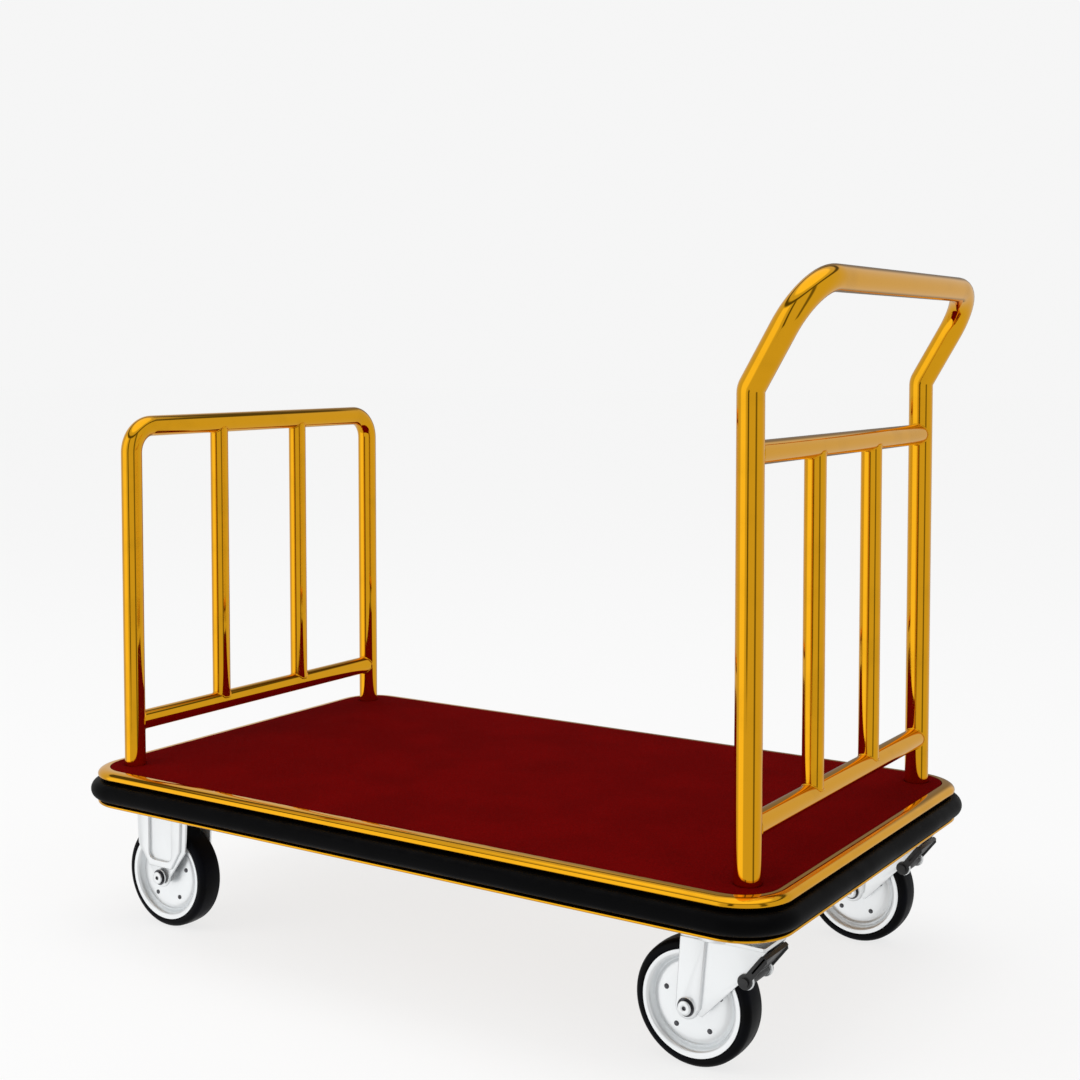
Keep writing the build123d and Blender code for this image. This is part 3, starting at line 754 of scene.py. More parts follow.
# ---------------------------------------------------------------- flat plates
def plate(name, loops, thickness, edge, finish_name, place):
    """Flat plate cut to closed loops of (u, v), the first its outside and the rest holes, with
    rounded edges. place takes the plate's (u, v, w) to the frame, w across its thickness."""
    curve = bpy.data.curves.new(name, "CURVE")
    curve.dimensions = "2D"
    curve.fill_mode = "BOTH"
    curve.extrude = thickness / 2 - edge
    curve.bevel_depth = edge
    curve.bevel_resolution = 2
    curve.offset = -edge
    for loop in loops:
        spline = curve.splines.new("POLY")
        spline.points.add(len(loop) - 1)
        for point, (u, v) in zip(spline.points, loop):
            point.co = (u, v, 0, 1)
        spline.use_cyclic_u = True
    shape = bpy.data.objects.new(name, curve)
    bpy.context.scene.collection.objects.link(shape)
    graph = bpy.context.evaluated_depsgraph_get()
    mesh = bpy.data.meshes.new_from_object(shape.evaluated_get(graph))
    bpy.data.objects.remove(shape)
    mesh.transform(place)
    piece = bpy.data.objects.new(name, mesh)
    bpy.context.scene.collection.objects.link(piece)
    mesh.materials.clear()
    mesh.materials.append(material(finish_name))
    weld_points(piece)
    for polygon in piece.data.polygons:
        polygon.use_smooth = True
    return shade_by_angle(piece, 32)


def weld_points(piece, distance=0.00002):
    work = bmesh.new()
    work.from_mesh(piece.data)
    bmesh.ops.remove_doubles(work, verts=work.verts, dist=distance)
    bmesh.ops.recalc_face_normals(work, faces=work.faces)
    work.to_mesh(piece.data)
    work.free()
    return piece


def standing(centre, y):
    """Takes (u, v, w) to X, Z and Y about a centre, the plate's middle at y."""
    return Matrix(((1, 0, 0, centre.x), (0, 0, 1, y), (0, 1, 0, centre.z), (0, 0, 0, 1)))


def lying(centre, z):
    """Takes (u, v, w) to X, Y and Z about a centre, the plate's middle at z."""
    return Matrix(((1, 0, 0, centre.x), (0, 1, 0, centre.y), (0, 0, 1, z), (0, 0, 0, 1)))


def arc(u, v, radius, start, end, steps=12):
    """Points of an arc from start to end, in degrees."""
    points = []
    for i in range(steps + 1):
        angle = math.radians(start + (end - start) * i / steps)
        points.append((u + radius * math.cos(angle), v + radius * math.sin(angle)))
    return points


def circle(u, v, radius, steps=40):
    return arc(u, v, radius, 0, 360 - 360 / steps, steps - 1)


def rounded_rectangle(half_u, half_v, radius, u=0.0, v=0.0, steps=8):
    points = []
    for quarter, (su, sv) in enumerate(((1, 1), (-1, 1), (-1, -1), (1, -1))):
        hub_u, hub_v = u + su * (half_u - radius), v + sv * (half_v - radius)
        points += arc(hub_u, hub_v, radius, 90 * quarter, 90 * quarter + 90, steps)
    return points


# ---------------------------------------------------------------- carpet
def post_places():
    """Middle of each post in the carpet's plane, and its tube's radius."""
    places = []
    for hoop, route in (("handle_hoop", handle_route()), ("rail_hoop", rail_route())):
        for foot in (route[0], route[-1]):
            places.append((foot.x, foot.y, tube_radius(hoop)))
    return places


def make_carpet():
    """Pile sheet cut to the deck, with a hole for each post, its pile raised unevenly."""
    low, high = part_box("carpet")
    middle = (low + high) / 2
    half = (high - low) / 2
    loops = [rounded_rectangle(half.x, half.y, CORNER_RADIUS, steps=16)]
    posts = post_places()
    for x, y, radius in posts:
        loops.append(circle(x - middle.x, y - middle.y, radius + POST_CLEARANCE))
    sheet = plate("carpet_sheet", loops, half.z * 2, 1.2 * MM, "carpet", lying(middle, middle.z))
    remesh = sheet.modifiers.new("even", "REMESH")
    remesh.mode = "VOXEL"
    remesh.voxel_size = CARPET_CELL
    apply_modifiers(sheet)
    pile = sizes().pile
    for vertex in sheet.data.vertices:
        place = vertex.co
        share = max(0.0, (place.z - middle.z) / half.z)
        place.z = min(place.z + (noise_at(place) - 0.5) * pile * share, high.z)
        draw_to_posts(place, posts)
    for polygon in sheet.data.polygons:
        polygon.use_smooth = True
    sheet.data.materials.clear()
    sheet.data.materials.append(material("carpet"))
    return sheet


POST_CLEARANCE = 0.4 * MM
CARPET_CELL = 2.6 * MM


def draw_to_posts(place, posts):
    """Draws the edge of a hole in the carpet to an even gap round its post."""
    for x, y, radius in posts:
        away = Vector((place.x - x, place.y - y))
        if away.length < radius + POST_CLEARANCE + CARPET_CELL * 0.75:
            away = away.normalized() * (radius + POST_CLEARANCE)
            place.x, place.y = x + away.x, y + away.y


def noise_at(place):
    fine = noise.noise(place * 210.0)
    broad = noise.noise(place * 38.0)
    return 0.5 * fine + 0.5 * broad


# ---------------------------------------------------------------- wheels
def smooth_profile(points, rounds=2):
    """Cuts the corners of an open profile, keeping its ends."""
    for _ in range(rounds):
        cut = [points[0]]
        for (a, b), (c, d) in zip(points, points[1:]):
            cut.append((0.75 * a + 0.25 * c, 0.75 * b + 0.25 * d))
            cut.append((0.25 * a + 0.75 * c, 0.25 * b + 0.75 * d))
        points = cut + [points[-1]]
    return points


def sheet_section(points, thickness):
    """Closed outline of a bent sheet whose middle follows the points."""
    front, back = [], []
    for i, (a, b) in enumerate(points):
        c, d = points[min(i + 1, len(points) - 1)]
        e, f = points[max(i - 1, 0)]
        run = math.hypot(c - e, d - f)
        across = (-(d - f) / run * thickness / 2, (c - e) / run * thickness / 2)
        front.append((a + across[0], b + across[1]))
        back.append((a - across[0], b - across[1]))
    return front + back[::-1]


TYRE_DEPTH = 16 * MM
TYRE_SHOULDER = 8 * MM
TREAD_CROWN = 0.15 * MM
RIM_SHEET = 2.4 * MM
# Rim section from the flat disc's edge out to the lip: (below the tyre's seat, in from its side).
RIM_STEPS = [(12.5, 7.0), (9.0, 12.5), (6.0, 12.5), (3.5, 2.8), (1.5, 0.8), (-3.5, 0.8)]
# The tyre's side from its seat out past the rim's lip: (above the seat, in from the side).
TYRE_STEPS = [(0.2, 2.5), (3.9, 2.3), (4.2, 0.9), (4.8, 0.2)]


def make_rim(name, centre, wheel_radius, half_width):
    """Two pressed halves: a flat disc, a groove round it and a lip that holds the tyre."""
    seat = wheel_radius - TYRE_DEPTH
    hub = box_size(f"{name}_hub").x / 2
    steps = [(seat - below * MM, half_width - inward * MM) for below, inward in RIM_STEPS]
    line = [(hub, steps[0][1]), (hub + 4 * MM, steps[0][1])] + steps
    section = sheet_section(smooth_profile(line), RIM_SHEET)
    halves = []
    for sign in (-1, 1):
        side = [(radius, sign * along) for radius, along in section]
        verts, faces = turned(side, centre, steps=128)
        halves.append(fix_normals(mesh_piece(f"{name}_rim_{sign}", verts, faces, "zinc")))
    return shade_by_angle(join(f"{name}_pressed_rim", halves), 40)


def make_tyre(name, centre, wheel_radius, half_width):
    """Solid tyre: flat seat, short side walls, round shoulders and a slightly crowned tread."""
    seat = wheel_radius - TYRE_DEPTH
    right = [(seat + above * MM, half_width - inward * MM) for above, inward in TYRE_STEPS]
    shoulder_r = wheel_radius - TYRE_SHOULDER - 4 * TREAD_CROWN
    shoulder_y = half_width - TYRE_SHOULDER
    right += arc(shoulder_r, shoulder_y, TYRE_SHOULDER, 90, 0, 8)
    right += [(wheel_radius - TREAD_CROWN, half_width * 0.3), (wheel_radius, 0.0)]
    section = right + [(radius, -along) for radius, along in reversed(right[:-1])]
    verts, faces = turned(section, centre, steps=144)
    tyre = fix_normals(mesh_piece(f"{name}_solid_tyre", verts, faces, "tyre"))
    return shade_by_angle(tyre, 50)


RIVET_COUNT = 5
RIVET_START = 18
RIVET_CIRCLE = 37 * MM
RIVET_HEAD = 3.25 * MM
RIVET_RISE = 1.4 * MM


def rivet_places(name):
    """Middles of the rivets on a wheel, evenly round its disc."""
    middle = box_middle(f"{name}_hub")
    for index in range(RIVET_COUNT):
        angle = math.radians(RIVET_START + 360 / RIVET_COUNT * index)
        yield middle + about_axle(RIVET_CIRCLE, angle, 0)


def dome(radius, height, base, outward, steps=6):
    """Profile of a domed head from its rim to its top on the axis."""
    points = [(radius, base)]
    for i in range(1, steps + 1):
        angle = math.pi / 2 * i / steps
        points.append((radius * math.cos(angle), base + outward * height * math.sin(angle)))
    return points


def make_rivets(name):
    """Domed heads on both faces of the wheel, joined by their shanks."""
    top = box_size(f"{name}_rim_rivets").y / 2
    face = top - RIVET_RISE
    heads = []
    for index, place in enumerate(rivet_places(name)):
        profile = [(0, -top)] + dome(RIVET_HEAD, RIVET_RISE, -face, -1)[::-1][1:]
        profile += dome(RIVET_HEAD, RIVET_RISE, face, 1)[:-1] + [(0, top)]
        verts, faces = solid_turned(profile, place, steps=24)
        heads.append(fix_normals(mesh_piece(f"{name}_rivet_{index}", verts, faces, "rivet")))
    return shade_by_angle(join(f"{name}_rivet_heads", heads), 50)


# ---------------------------------------------------------------- casters
FORK_OUTER = 30 * MM
HALF_GAP = 23 * MM
LEG_SHEET = 3.5 * MM
LEG_RIB = 3.5 * MM
CROWN_SHEET = 5 * MM
SHEET_EDGE = 0.8 * MM
PLATE_EDGE = 0.7 * MM
KINGPIN_HOLE = 8.05 * MM
RACE_RADIUS = 35 * MM
SWIVEL_TRAIL = 32 * MM
PLATE_CORNER = 10 * MM
PLATE_BOLT_HALF = 38 * MM
PLATE_HOLE = 4.1 * MM
AXLE_NUT_FLATS = 19 * MM
AXLE_NUT_RISE = 9 * MM
AXLE_END = 2 * MM
AXLE_HEAD_RISE = 6.5 * MM
# Axle bolt's head, washer and far end: radius, then the place along it from its own outer face,
# from the fork's face or from the far end.
BOLT_HEAD = [(0, 2.2), (2.4, 2.0), (2.6, 0.4), (3.2, 0), (7.3, 0), (8.2, 0.5), (8.5, 1.4)]
BOLT_WASHER = [(8.5, -1.5), (11.0, -1.5), (11.5, -1.0), (11.5, 0), (6, 0)]
BOLT_END = [(6, -1), (5.2, 0), (0, 0)]
# Outlines in a fork leg's plane are in millimetres from the axle, (outward, up).
BOSS_RADIUS = 15
AXLE_HOLE = 6.05
# The brake lever's arm, from its pin: angle above level, length, and where its tread starts.
ARM_ANGLE = math.radians(52)
ARM_LENGTH = 42
TREAD_START = 14
TREAD_THICKNESS = 5
EAR_RADIUS = 10
WING_GAP = 1
LEVER_HOLE = 3.05
CAM_CLEARANCE = 1 * MM
CAM = {"hub": 7, "nose": 3, "reach": 6.3, "pin_angle": 31, "travel": 30}
CHEEK_RADIUS = 9
CHEEK_WIDTH = 10
CHEEK_CORNER = 4
CHEEK_SHEET = 2.5 * MM
CHEEK_START = 3.9 * MM


def make_axle_bolt(name, centre, low_y, high_y):
    """Bolt along Y: a washer under a round head with a dimpled centre, and a rounded far end; the dimple's
    floor and the washer's ring round the head are dark, as painted shade.
    """
    face = -FORK_OUTER
    profile = []
    for points, start in ((BOLT_HEAD, low_y), (BOLT_WASHER, face), (BOLT_END, high_y)):
        profile += [(radius * MM, start + along * MM) for radius, along in points]
    verts, faces = solid_turned(profile, centre)
    bolt = shade_by_angle(fix_normals(mesh_piece(name, verts, faces, "zinc")), 35)
    # Painted shade: the faces in the head's dimple and the washer's ring round the head take the dark rivet
    # material.
    bolt.data.materials.append(material("rivet"))
    for polygon in bolt.data.polygons:
        away = polygon.center - centre
        radius = math.hypot(away.x, away.z) / MM
        if away.y < face + 0.5 * MM and (radius < 2.5 or 8.4 < radius < 10.9):
            polygon.material_index = 1
    return bolt


def make_axle_nut(name, centre, low_y, high_y):
    """Hexagon nut on the bolt's far end."""
    radius = AXLE_NUT_FLATS / 2 / math.cos(math.pi / 6)
    loops = [arc(0, 0, radius, 30, 330, 5), circle(0, 0, 6 * MM, 32)]
    place = standing(centre, centre.y + (low_y + high_y) / 2)
    return plate(name, loops, high_y - low_y, PLATE_EDGE, "zinc", place)


def leg_plates(name, centre, layers):
    """Both legs of a fork; each layer is (loops, how far out it starts, thickness, edge)."""
    pieces = []
    for sign in (-1, 1):
        for index, (loops, start, thickness, edge) in enumerate(layers):
            place = standing(centre, centre.y + sign * (HALF_GAP + start + thickness / 2))
            loops_in_metres = [scaled(loop) for loop in loops]
            pieces.append(plate(f"{name}_{sign}_{index}", loops_in_metres, thickness, edge, "zinc", place))
    return pieces


def scaled(points):
    return [(u * MM, v * MM) for u, v in points]


def along_arm(pin, along, back):
    """A place in the leg's plane, along the lever's arm from its pin and back toward the crown."""
    u = pin[0] + along * math.cos(ARM_ANGLE) - back * math.sin(ARM_ANGLE)
    v = pin[1] + along * math.sin(ARM_ANGLE) + back * math.cos(ARM_ANGLE)
    return (u, v)


def lever_pin_place(caster, centre):
    """The brake pin's middle from the axle, in millimetres."""
    offset = (box_middle(f"{caster}_lever_pin") - centre) / MM
    return (offset.x, offset.z)


def wing_outline(pin, top):
    """Wing from the crown to the ear round the brake pin, slanting back to the axle's boss."""
    back = TREAD_THICKNESS / 2 + WING_GAP
    rise = (top - pin[1] - back * math.cos(ARM_ANGLE)) / math.sin(ARM_ANGLE)
    tilt = math.degrees(ARM_ANGLE + math.asin(back / EAR_RADIUS))
    ear = arc(pin[0], pin[1], EAR_RADIUS, tilt, -148, 20)
    return [(0, top), along_arm(pin, rise, back)] + ear + [(44, 17), (18, -10), (0, -4)]


def make_swivel_fork(caster, centre):
    """Pressed fork: a raised strip down to the axle and a wing that slants to the brake's pin."""
    name = f"{caster}_fork"
    crown_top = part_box(name)[1].z
    top = (crown_top - CROWN_SHEET - centre.z) / MM
    pin = lever_pin_place(caster, centre)
    strip_back = -9
    strip = [(strip_back, top), (-BOSS_RADIUS, 0)] + arc(0, 0, BOSS_RADIUS, 180, 349, 16)
    strip += [(17, -1), (25, top)]
    wing = wing_outline(pin, top)
    pieces = leg_plates(name, centre, [
        ([wing, circle(pin[0], pin[1], 3)], 0, LEG_SHEET, SHEET_EDGE),
        ([strip, circle(0, 0, AXLE_HOLE)], 0, LEG_SHEET + LEG_RIB, 2.0 * MM),
    ])
    far, near = wing[1][0] * MM, strip_back * MM
    crown = rounded_rectangle((far - near) / 2, FORK_OUTER, 3 * MM, (far + near) / 2, 0)
    collar = circle(SWIVEL_TRAIL, 0, RACE_RADIUS, 64)
    place = lying(centre, crown_top - CROWN_SHEET / 2)
    for label, outline in (("crown", crown), ("collar", collar)):
        loops = [outline, circle(SWIVEL_TRAIL, 0, KINGPIN_HOLE)]
        pieces.append(plate(f"{name}_{label}", loops, CROWN_SHEET, SHEET_EDGE, "zinc", place))
    return join(f"{name}_pressed", pieces)


def make_rigid_fork(caster, centre):
    """Pressed fork: legs that taper to the axle, with raised shoulders round a sunk panel."""
    name = f"{caster}_fork"
    plate_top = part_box(name)[1].z
    top = (plate_top - CROWN_SHEET - centre.z) / MM
    leg = [(50, top), (47, 42)] + arc(0, 0, BOSS_RADIUS, 0, -180, 20) + [(-47, 42), (-50, top)]
    panel = [(-22, top)] + arc(-12, 34, 10, 180, 270, 6) + arc(12, 34, 10, 270, 360, 6) + [(22, top)]
    shoulder = [(42, top), (39, 42), (22, 14), (-22, 14), (-39, 42), (-42, top)] + panel
    pieces = leg_plates(name, centre, [
        ([leg, circle(0, 0, AXLE_HOLE)], 0, LEG_SHEET, 0.9 * MM),
        ([shoulder], LEG_SHEET - 0.8 * MM, LEG_RIB + 0.8 * MM, 1.7 * MM),
    ])
    half = box_size(name).x / 2
    loops = [rounded_rectangle(half, half, PLATE_CORNER)]
    for i in (-1, 1):
        loops += [circle(i * PLATE_BOLT_HALF, j * PLATE_BOLT_HALF, PLATE_HOLE, 24) for j in (-1, 1)]
    place = lying(centre, plate_top - CROWN_SHEET / 2)
    pieces.append(plate(f"{name}_plate", loops, CROWN_SHEET, PLATE_EDGE, "zinc", place))
    return join(f"{name}_pressed", pieces)


def cam_outline():
    """Round hub with a nose that points at the axle once the lever is pressed."""
    nose = CAM["pin_angle"] + 180 + CAM["travel"]
    nose_u = CAM["reach"] * math.cos(math.radians(nose))
    nose_v = CAM["reach"] * math.sin(math.radians(nose))
    hub = arc(0, 0, CAM["hub"], nose + 26, nose + 334, 28)
    return hub + arc(nose_u, nose_v, CAM["nose"], nose - 86, nose + 86, 10)


def arm_points(points):
    """Points (along, back) about the pin, turned to the lever's slant."""
    return [along_arm((0, 0), along, back) for along, back in points]


def arm_bar(start, end):
    """A bar of the tread's thickness along the arm."""
    thick = TREAD_THICKNESS / 2
    return arm_points([(start, thick), (start, -thick), (end, -thick), (end, thick)])


def cheek_outline():
    """Round about the pin, with an arm whose far corners are cut."""
    half = CHEEK_WIDTH / 2
    lift = math.degrees(math.asin(half / CHEEK_RADIUS))
    corner = ARM_LENGTH - CHEEK_CORNER
    side = half - CHEEK_CORNER
    end = [(corner, -half), (ARM_LENGTH, -side), (ARM_LENGTH, side), (corner, half)]
    return arm_points(arc(0, 0, CHEEK_RADIUS, lift, 360 - lift, 28) + end)


def make_brake_lever(caster, centre):
    """Cam between the wings and two cheeks outside them, joined by a tread along the arm."""
    name = f"{caster}_brake_lever"
    pin = lever_pin_place(caster, centre)
    hub = centre + Vector((pin[0] * MM, 0, pin[1] * MM))
    hole = circle(0, 0, LEVER_HOLE, 24)
    inner = 2 * (HALF_GAP - CAM_CLEARANCE)
    cheek_y = HALF_GAP + CHEEK_START + CHEEK_SHEET / 2
    layers = [
        ("cam", [cam_outline(), hole], inner, PLATE_EDGE, 0),
        ("tread", [arm_bar(TREAD_START, ARM_LENGTH)], box_size(name).y, 1.4 * MM, 0),
        ("web", [arm_bar(CAM["hub"] - 2, TREAD_START + TREAD_THICKNESS / 2)], inner, PLATE_EDGE, 0),
        ("cheek_-1", [cheek_outline(), hole], CHEEK_SHEET, PLATE_EDGE, -cheek_y),
        ("cheek_1", [cheek_outline(), hole], CHEEK_SHEET, PLATE_EDGE, cheek_y),
    ]
    pieces = []
    for label, loops, thickness, edge, aside in layers:
        place = standing(hub, centre.y + aside)
        loops_in_metres = [scaled(loop) for loop in loops]
        pieces.append(plate(f"{name}_{label}", loops_in_metres, thickness, edge, "paint", place))
    return join(f"{name}_pressed", pieces)


# ---------------------------------------------------------------- operators
class CART_OT_tubes(bpy.types.Operator):
    """Makes the polished handle, rail, cross bars and uprights."""
    bl_idname = "cart.tubes"
    bl_label = "Gold tubes"

    def execute(self, context):
        radii = sizes()
        bends = [radii.kink_radius, radii.grip_radius, radii.grip_radius, radii.kink_radius]
        handle = make_tube("handle_hoop", rounded_path(handle_route(), bends))
        stand_for(handle, "root", "gold_tube", "handle_hoop")
        bends = [radii.rail_radius, radii.rail_radius]
        rail = make_tube("rail_hoop", rounded_path(rail_route(), bends))
        stand_for(rail, "root", "gold_tube", "rail_hoop")
        for node, hoop in (("handle_lower_bar", "handle_hoop"), ("handle_upper_bar", "handle_hoop"),
                           ("rail_lower_bar", "rail_hoop")):
            stand_for(make_cross_bar(node, hoop), "root", "gold_tube", node)
        for side in SIDES:
            node = f"handle_{side}_upright"
            stand_for(make_upright(node, "handle_lower_bar", "handle_upper_bar"), "root", "gold_tube", node)
            node = f"rail_{side}_upright"
            stand_for(make_upright(node, "rail_lower_bar", "rail_hoop"), "root", "gold_tube", node)
        return {"FINISHED"}


class CART_OT_deck_edge(bpy.types.Operator):
    """Makes the gold band and the rubber bumper round the deck."""
    bl_idname = "cart.deck_edge"
    bl_label = "Gold band and bumper"

    def execute(self, context):
        stand_for(make_band(), "root", "gold_band", "edge_channel")
        stand_for(make_bumper(), "root", "bumper_rubber", "bumper")
        return {"FINISHED"}


class CART_OT_carpet(bpy.types.Operator):
    """Lays the carpet on the deck."""
    bl_idname = "cart.carpet"
    bl_label = "Carpet"

    def execute(self, context):
        carpet = make_carpet()
        stand_for(carpet, "root", "carpet", "carpet")
        return {"FINISHED"}


class CART_OT_wheels(bpy.types.Operator):
    """Makes the four wheels: tyre, pressed rim and rivets."""
    bl_idname = "cart.wheels"
    bl_label = "Wheels"

    def execute(self, context):
        for end in ENDS:
            for side in SIDES:
                name = f"{end}_{side}"
                centre = box_middle(f"{name}_tyre")
                size = box_size(f"{name}_tyre")
                radius, half_width = size.x / 2, size.y / 2
                body = f"{name}_wheel"
                stand_for(make_tyre(name, centre, radius, half_width), body, "tyre", f"{name}_tyre")
                stand_for(make_rim(name, centre, radius, half_width), body, "zinc_plate", f"{name}_rim")
                stand_for(make_rivets(name), body, "zinc_plate", f"{name}_rim_rivets")
        return {"FINISHED"}


class CART_OT_casters(bpy.types.Operator):
    """Makes the forks, axle bolts and nuts, and the brake levers."""
    bl_idname = "cart.casters"
    bl_label = "Casters"

    def execute(self, context):
        for side in SIDES:
            name = f"rear_{side}"
            centre = box_middle(f"{name}_tyre")
            body = f"{name}_caster"
            stand_for(make_swivel_fork(name, centre), body, "zinc_plate", f"{name}_fork")
            low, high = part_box(f"{name}_axle_bolt")
            bolt = make_axle_bolt(f"{name}_turned_bolt", centre, low.y - centre.y, high.y - centre.y)
            stand_for(bolt, body, "zinc_plate", f"{name}_axle_bolt")
            low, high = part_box(f"{name}_axle_nut")
            nut = make_axle_nut(f"{name}_hex_nut", centre, low.y - centre.y, high.y - centre.y)
            stand_for(nut, body, "zinc_plate", f"{name}_axle_nut")
            stand_for(make_brake_lever(name, centre), f"{name}_brake", "black_paint", f"{name}_brake_lever")
            front = f"front_{side}"
            centre = box_middle(f"{front}_tyre")
            stand_for(make_rigid_fork(front, centre), "root", "zinc_plate", f"{front}_fork")
        self.front_axles()
        return {"FINISHED"}

    def front_axles(self):
        """The front bolts are one group and the front nuts another, as in the frame."""
        bolts, nuts = [], []
        nut_end = FORK_OUTER + AXLE_NUT_RISE
        low_y, high_y = -FORK_OUTER - AXLE_HEAD_RISE, nut_end + AXLE_END
        for side in SIDES:
            name = f"front_{side}"
            centre = box_middle(f"{name}_tyre")
            bolts.append(make_axle_bolt(f"{name}_turned_bolt", centre, low_y, high_y))
            nuts.append(make_axle_nut(f"{name}_hex_nut", centre, FORK_OUTER, nut_end))
        stand_for(join("front_turned_bolts", bolts), "root", "zinc_plate", "front_axle_bolts")
        stand_for(join("front_hex_nuts", nuts), "root", "zinc_plate", "front_axle_nuts")


class CART_OT_underside(bpy.types.Operator):
    """Finishes the board, frame, brackets, races, hubs and fasteners."""
    bl_idname = "cart.underside"
    bl_label = "Underside"

    def execute(self, context):
        finishes = {"plywood": "plywood", "frame_paint": "paint", "steel": "steel", "zinc_plate": "zinc",
                    "gold_band": "gold", "gold_tube": "gold", "tyre": "tyre", "bumper_rubber": "rubber",
                    "black_paint": "paint", "carpet": "carpet"}
        slots = {part["node"]: part["material_slot"] for part in frame["record"]["subparts"]}
        for name, node in frame["nodes"].items():
            node.data.materials.clear()
            finish_name = "paint" if name.endswith("_lever_pin") else finishes[slots[name]]
            node.data.materials.append(material(finish_name))
        return {"FINISHED"}


# ---------------------------------------------------------------- stage
class CART_OT_stage(bpy.types.Operator):
    """Sets the pale floor, the soft lights and the camera."""
    bl_idname = "cart.stage"
    bl_label = "Stage"

    def execute(self, context):
        make_floor()
        make_sky()
        make_lights()
        make_camera()
        context.scene.view_settings.view_transform = "Standard"
        return {"FINISHED"}


def make_floor():
    """Pale floor that takes soft shadows and is left out of the metal's reflections."""
    half = FLOOR_HALF
    verts = [(-half, -half, 0), (half, -half, 0), (half, half, 0), (-half, half, 0)]
    mesh = bpy.data.meshes.new("pale_floor")
    mesh.from_pydata(verts, [], [(0, 1, 2, 3)])
    floor = bpy.data.objects.new("pale_floor", mesh)
    bpy.context.scene.collection.objects.link(floor)
    surface, tree, shader = new_material("floor_paint")
    shader.inputs["Base Color"].default_value = (0.20, 0.20, 0.20, 1)
    shader.inputs["Roughness"].default_value = 1.0
    shader.inputs["Specular IOR Level"].default_value = 0.0
    shader.inputs["Emission Color"].default_value = (1, 1, 1, 1)
    shader.inputs["Emission Strength"].default_value = FLOOR_GLOW
    clear = add(tree, "ShaderNodeBsdfTransparent")
    path = add(tree, "ShaderNodeLightPath")
    mix = add(tree, "ShaderNodeMixShader")
    output = tree.nodes["Material Output"]
    tree.links.new(path.outputs["Is Glossy Ray"], mix.inputs["Fac"])
    tree.links.new(shader.outputs["BSDF"], mix.inputs[1])
    tree.links.new(clear.outputs["BSDF"], mix.inputs[2])
    tree.links.new(mix.outputs["Shader"], output.inputs["Surface"])
    mesh.materials.append(surface)


FLOOR_HALF = 30.0
FLOOR_GLOW = 0.77
# What the metal sees round it: brightness of each stretch of the studio, given as
# (azimuth from, azimuth to, height from, height to, edge softness, brightness), heights being
# the sine of the angle above the horizon. Azimuths are in degrees from +X toward +Y.
STUDIO_LEVEL = 0.86
STUDIO_PANELS = (
    (-150, -104, -0.6, 0.6, 6, 1.40),
    (-87, -76, -0.2, 0.62, 3, 0.12),
    (-24, -10, -0.4, 0.62, 4, 0.22),
    (95, 125, -0.5, 0.62, 8, 0.30),
    (-200, 200, 0.62, 0.72, 1, 0.12),
    (-200, 200, 0.84, 1.2, 3, 1.45),
)
HEIGHT_SOFTNESS = 0.03


def band(tree, value, low, high, soft):
    """1 between low and high, falling to 0 outside them."""
    rise = spread(tree, value, low - soft, low + soft, 0.0, 1.0)
    fall = spread(tree, value, high - soft, high + soft, 1.0, 0.0)
    return math_node(tree, "MULTIPLY", rise, fall)


def make_sky():
    """Pale backdrop, and the bright and dark panels that only reflections and soft light see."""
    world = bpy.data.worlds.new("studio")
    bpy.context.scene.world = world
    world.use_nodes = True
    tree = world.node_tree
    tree.nodes.clear()
    place = add(tree, "ShaderNodeTexCoord")
    parts = add(tree, "ShaderNodeSeparateXYZ")
    tree.links.new(place.outputs["Generated"], parts.inputs["Vector"])
    height = parts.outputs["Z"]
    turn = math_node(tree, "ARCTAN2", parts.outputs["Y"], parts.outputs["X"])
    azimuth = math_node(tree, "MULTIPLY", turn, 180 / math.pi)
    level = STUDIO_LEVEL
    for start, end, low, high, soft, brightness in STUDIO_PANELS:
        across = band(tree, azimuth, start, end, soft)
        mask = math_node(tree, "MULTIPLY", across, band(tree, height, low, high, HEIGHT_SOFTNESS))
        change = math_node(tree, "SUBTRACT", brightness, level)
        level = math_node(tree, "ADD", level, math_node(tree, "MULTIPLY", change, mask))
    seen = add(tree, "ShaderNodeBackground")
    seen.inputs["Color"].default_value = (BACKDROP, BACKDROP, BACKDROP, 1)
    lit = add(tree, "ShaderNodeBackground")
    tree.links.new(level, lit.inputs["Strength"])
    path = add(tree, "ShaderNodeLightPath")
    mix = add(tree, "ShaderNodeMixShader")
    output = add(tree, "ShaderNodeOutputWorld")
    tree.links.new(path.outputs["Is Camera Ray"], mix.inputs["Fac"])
    tree.links.new(lit.outputs["Background"], mix.inputs[1])
    tree.links.new(seen.outputs["Background"], mix.inputs[2])
    tree.links.new(mix.outputs["Shader"], output.inputs["Surface"])


BACKDROP = 0.92
LAMPS = (
    ("key", (-2.6, -3.2, 3.0), 2.2, 2.2, 40.0),
    ("fill", (3.4, -1.4, 2.2), 1.4, 2.4, 12.0),
    ("top", (0.0, 0.0, 4.2), 3.0, 2.4, 30.0),
)


def make_lights():
    """Large soft lamps; the panels above stand in for them in reflections."""
    for name, place, width, height, power in LAMPS:
        light = bpy.data.lights.new(name, "AREA")
        light.shape = "RECTANGLE"
        light.size = width
        light.size_y = height
        light.energy = power
        lamp = bpy.data.objects.new(name, light)
        lamp.location = place
        aim = Vector((0, 0, 0.4)) - Vector(place)
        lamp.rotation_euler = aim.to_track_quat("-Z", "Y").to_euler()
        lamp.visible_glossy = False
        bpy.context.scene.collection.objects.link(lamp)


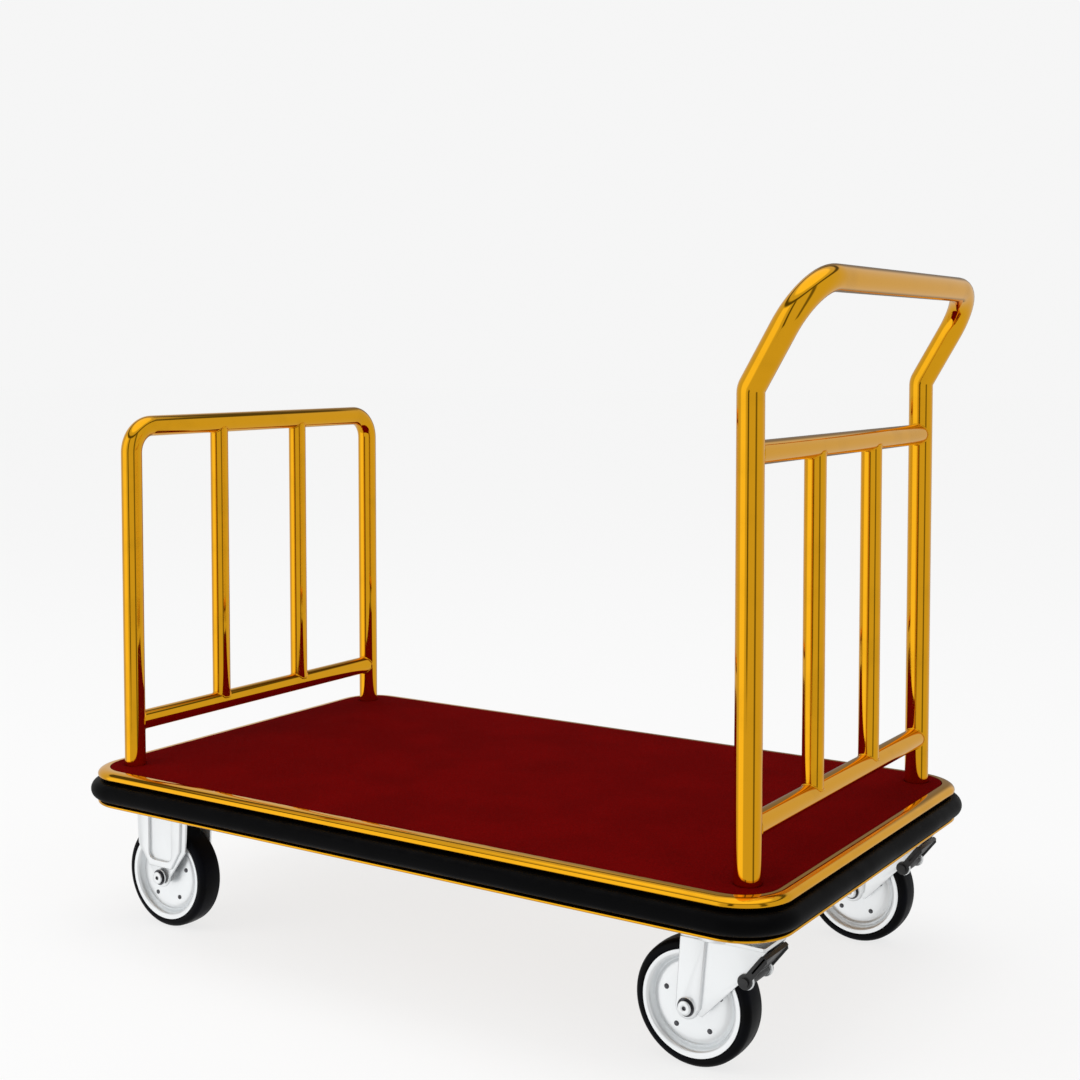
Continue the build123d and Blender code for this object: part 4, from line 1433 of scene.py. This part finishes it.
def make_camera():
    """Eye-level view from the handle end's left, with the lens a little low in its frame."""
    data = bpy.data.cameras.new("view")
    data.sensor_width = 36.0
    data.lens = 54.6
    data.shift_y = -0.0926
    camera = bpy.data.objects.new("view", data)
    yaw, pitch = math.radians(33.27), math.radians(3.01)
    ahead = Vector((-math.sin(yaw) * math.cos(pitch), math.cos(yaw) * math.cos(pitch), -math.sin(pitch)))
    camera.location = (1.284, -1.918, 0.829)
    camera.rotation_euler = ahead.to_track_quat("-Z", "Y").to_euler()
    bpy.context.scene.collection.objects.link(camera)
    bpy.context.scene.camera = camera


# ---------------------------------------------------------------- sidebar and registration
class CART_PT_sidebar(bpy.types.Panel):
    """Lists the cart's pieces and finishes."""
    bl_idname = "CART_PT_sidebar"
    bl_label = "Luggage Cart"
    bl_space_type = "VIEW_3D"
    bl_region_type = "UI"
    bl_category = "Luggage Cart"

    def draw(self, context):
        for group in (context.scene.cart_finish, context.scene.cart_sizes):
            for key in group.bl_rna.properties.keys():
                if key not in ("rna_type", "name"):
                    self.layout.prop(group, key)
        for operator in OPERATORS:
            self.layout.operator(operator.bl_idname)


OPERATORS = (CART_OT_tubes, CART_OT_deck_edge, CART_OT_carpet, CART_OT_wheels,
             CART_OT_casters, CART_OT_underside,
             CART_OT_stage)
CLASSES = (CartFinish, CartSizes) + OPERATORS + (CART_PT_sidebar,)


def register():
    for cls in CLASSES:
        bpy.utils.register_class(cls)
    bpy.types.Scene.cart_finish = bpy.props.PointerProperty(type=CartFinish)
    bpy.types.Scene.cart_sizes = bpy.props.PointerProperty(type=CartSizes)


def unregister():
    del bpy.types.Scene.cart_sizes
    del bpy.types.Scene.cart_finish
    for cls in reversed(CLASSES):
        bpy.utils.unregister_class(cls)


def main():
    register()
    bpy.ops.cart.tubes()
    bpy.ops.cart.deck_edge()
    bpy.ops.cart.carpet()
    bpy.ops.cart.wheels()
    bpy.ops.cart.casters()
    bpy.ops.cart.underside()
    bpy.ops.cart.stage()


if __name__ == "__main__":
    main()
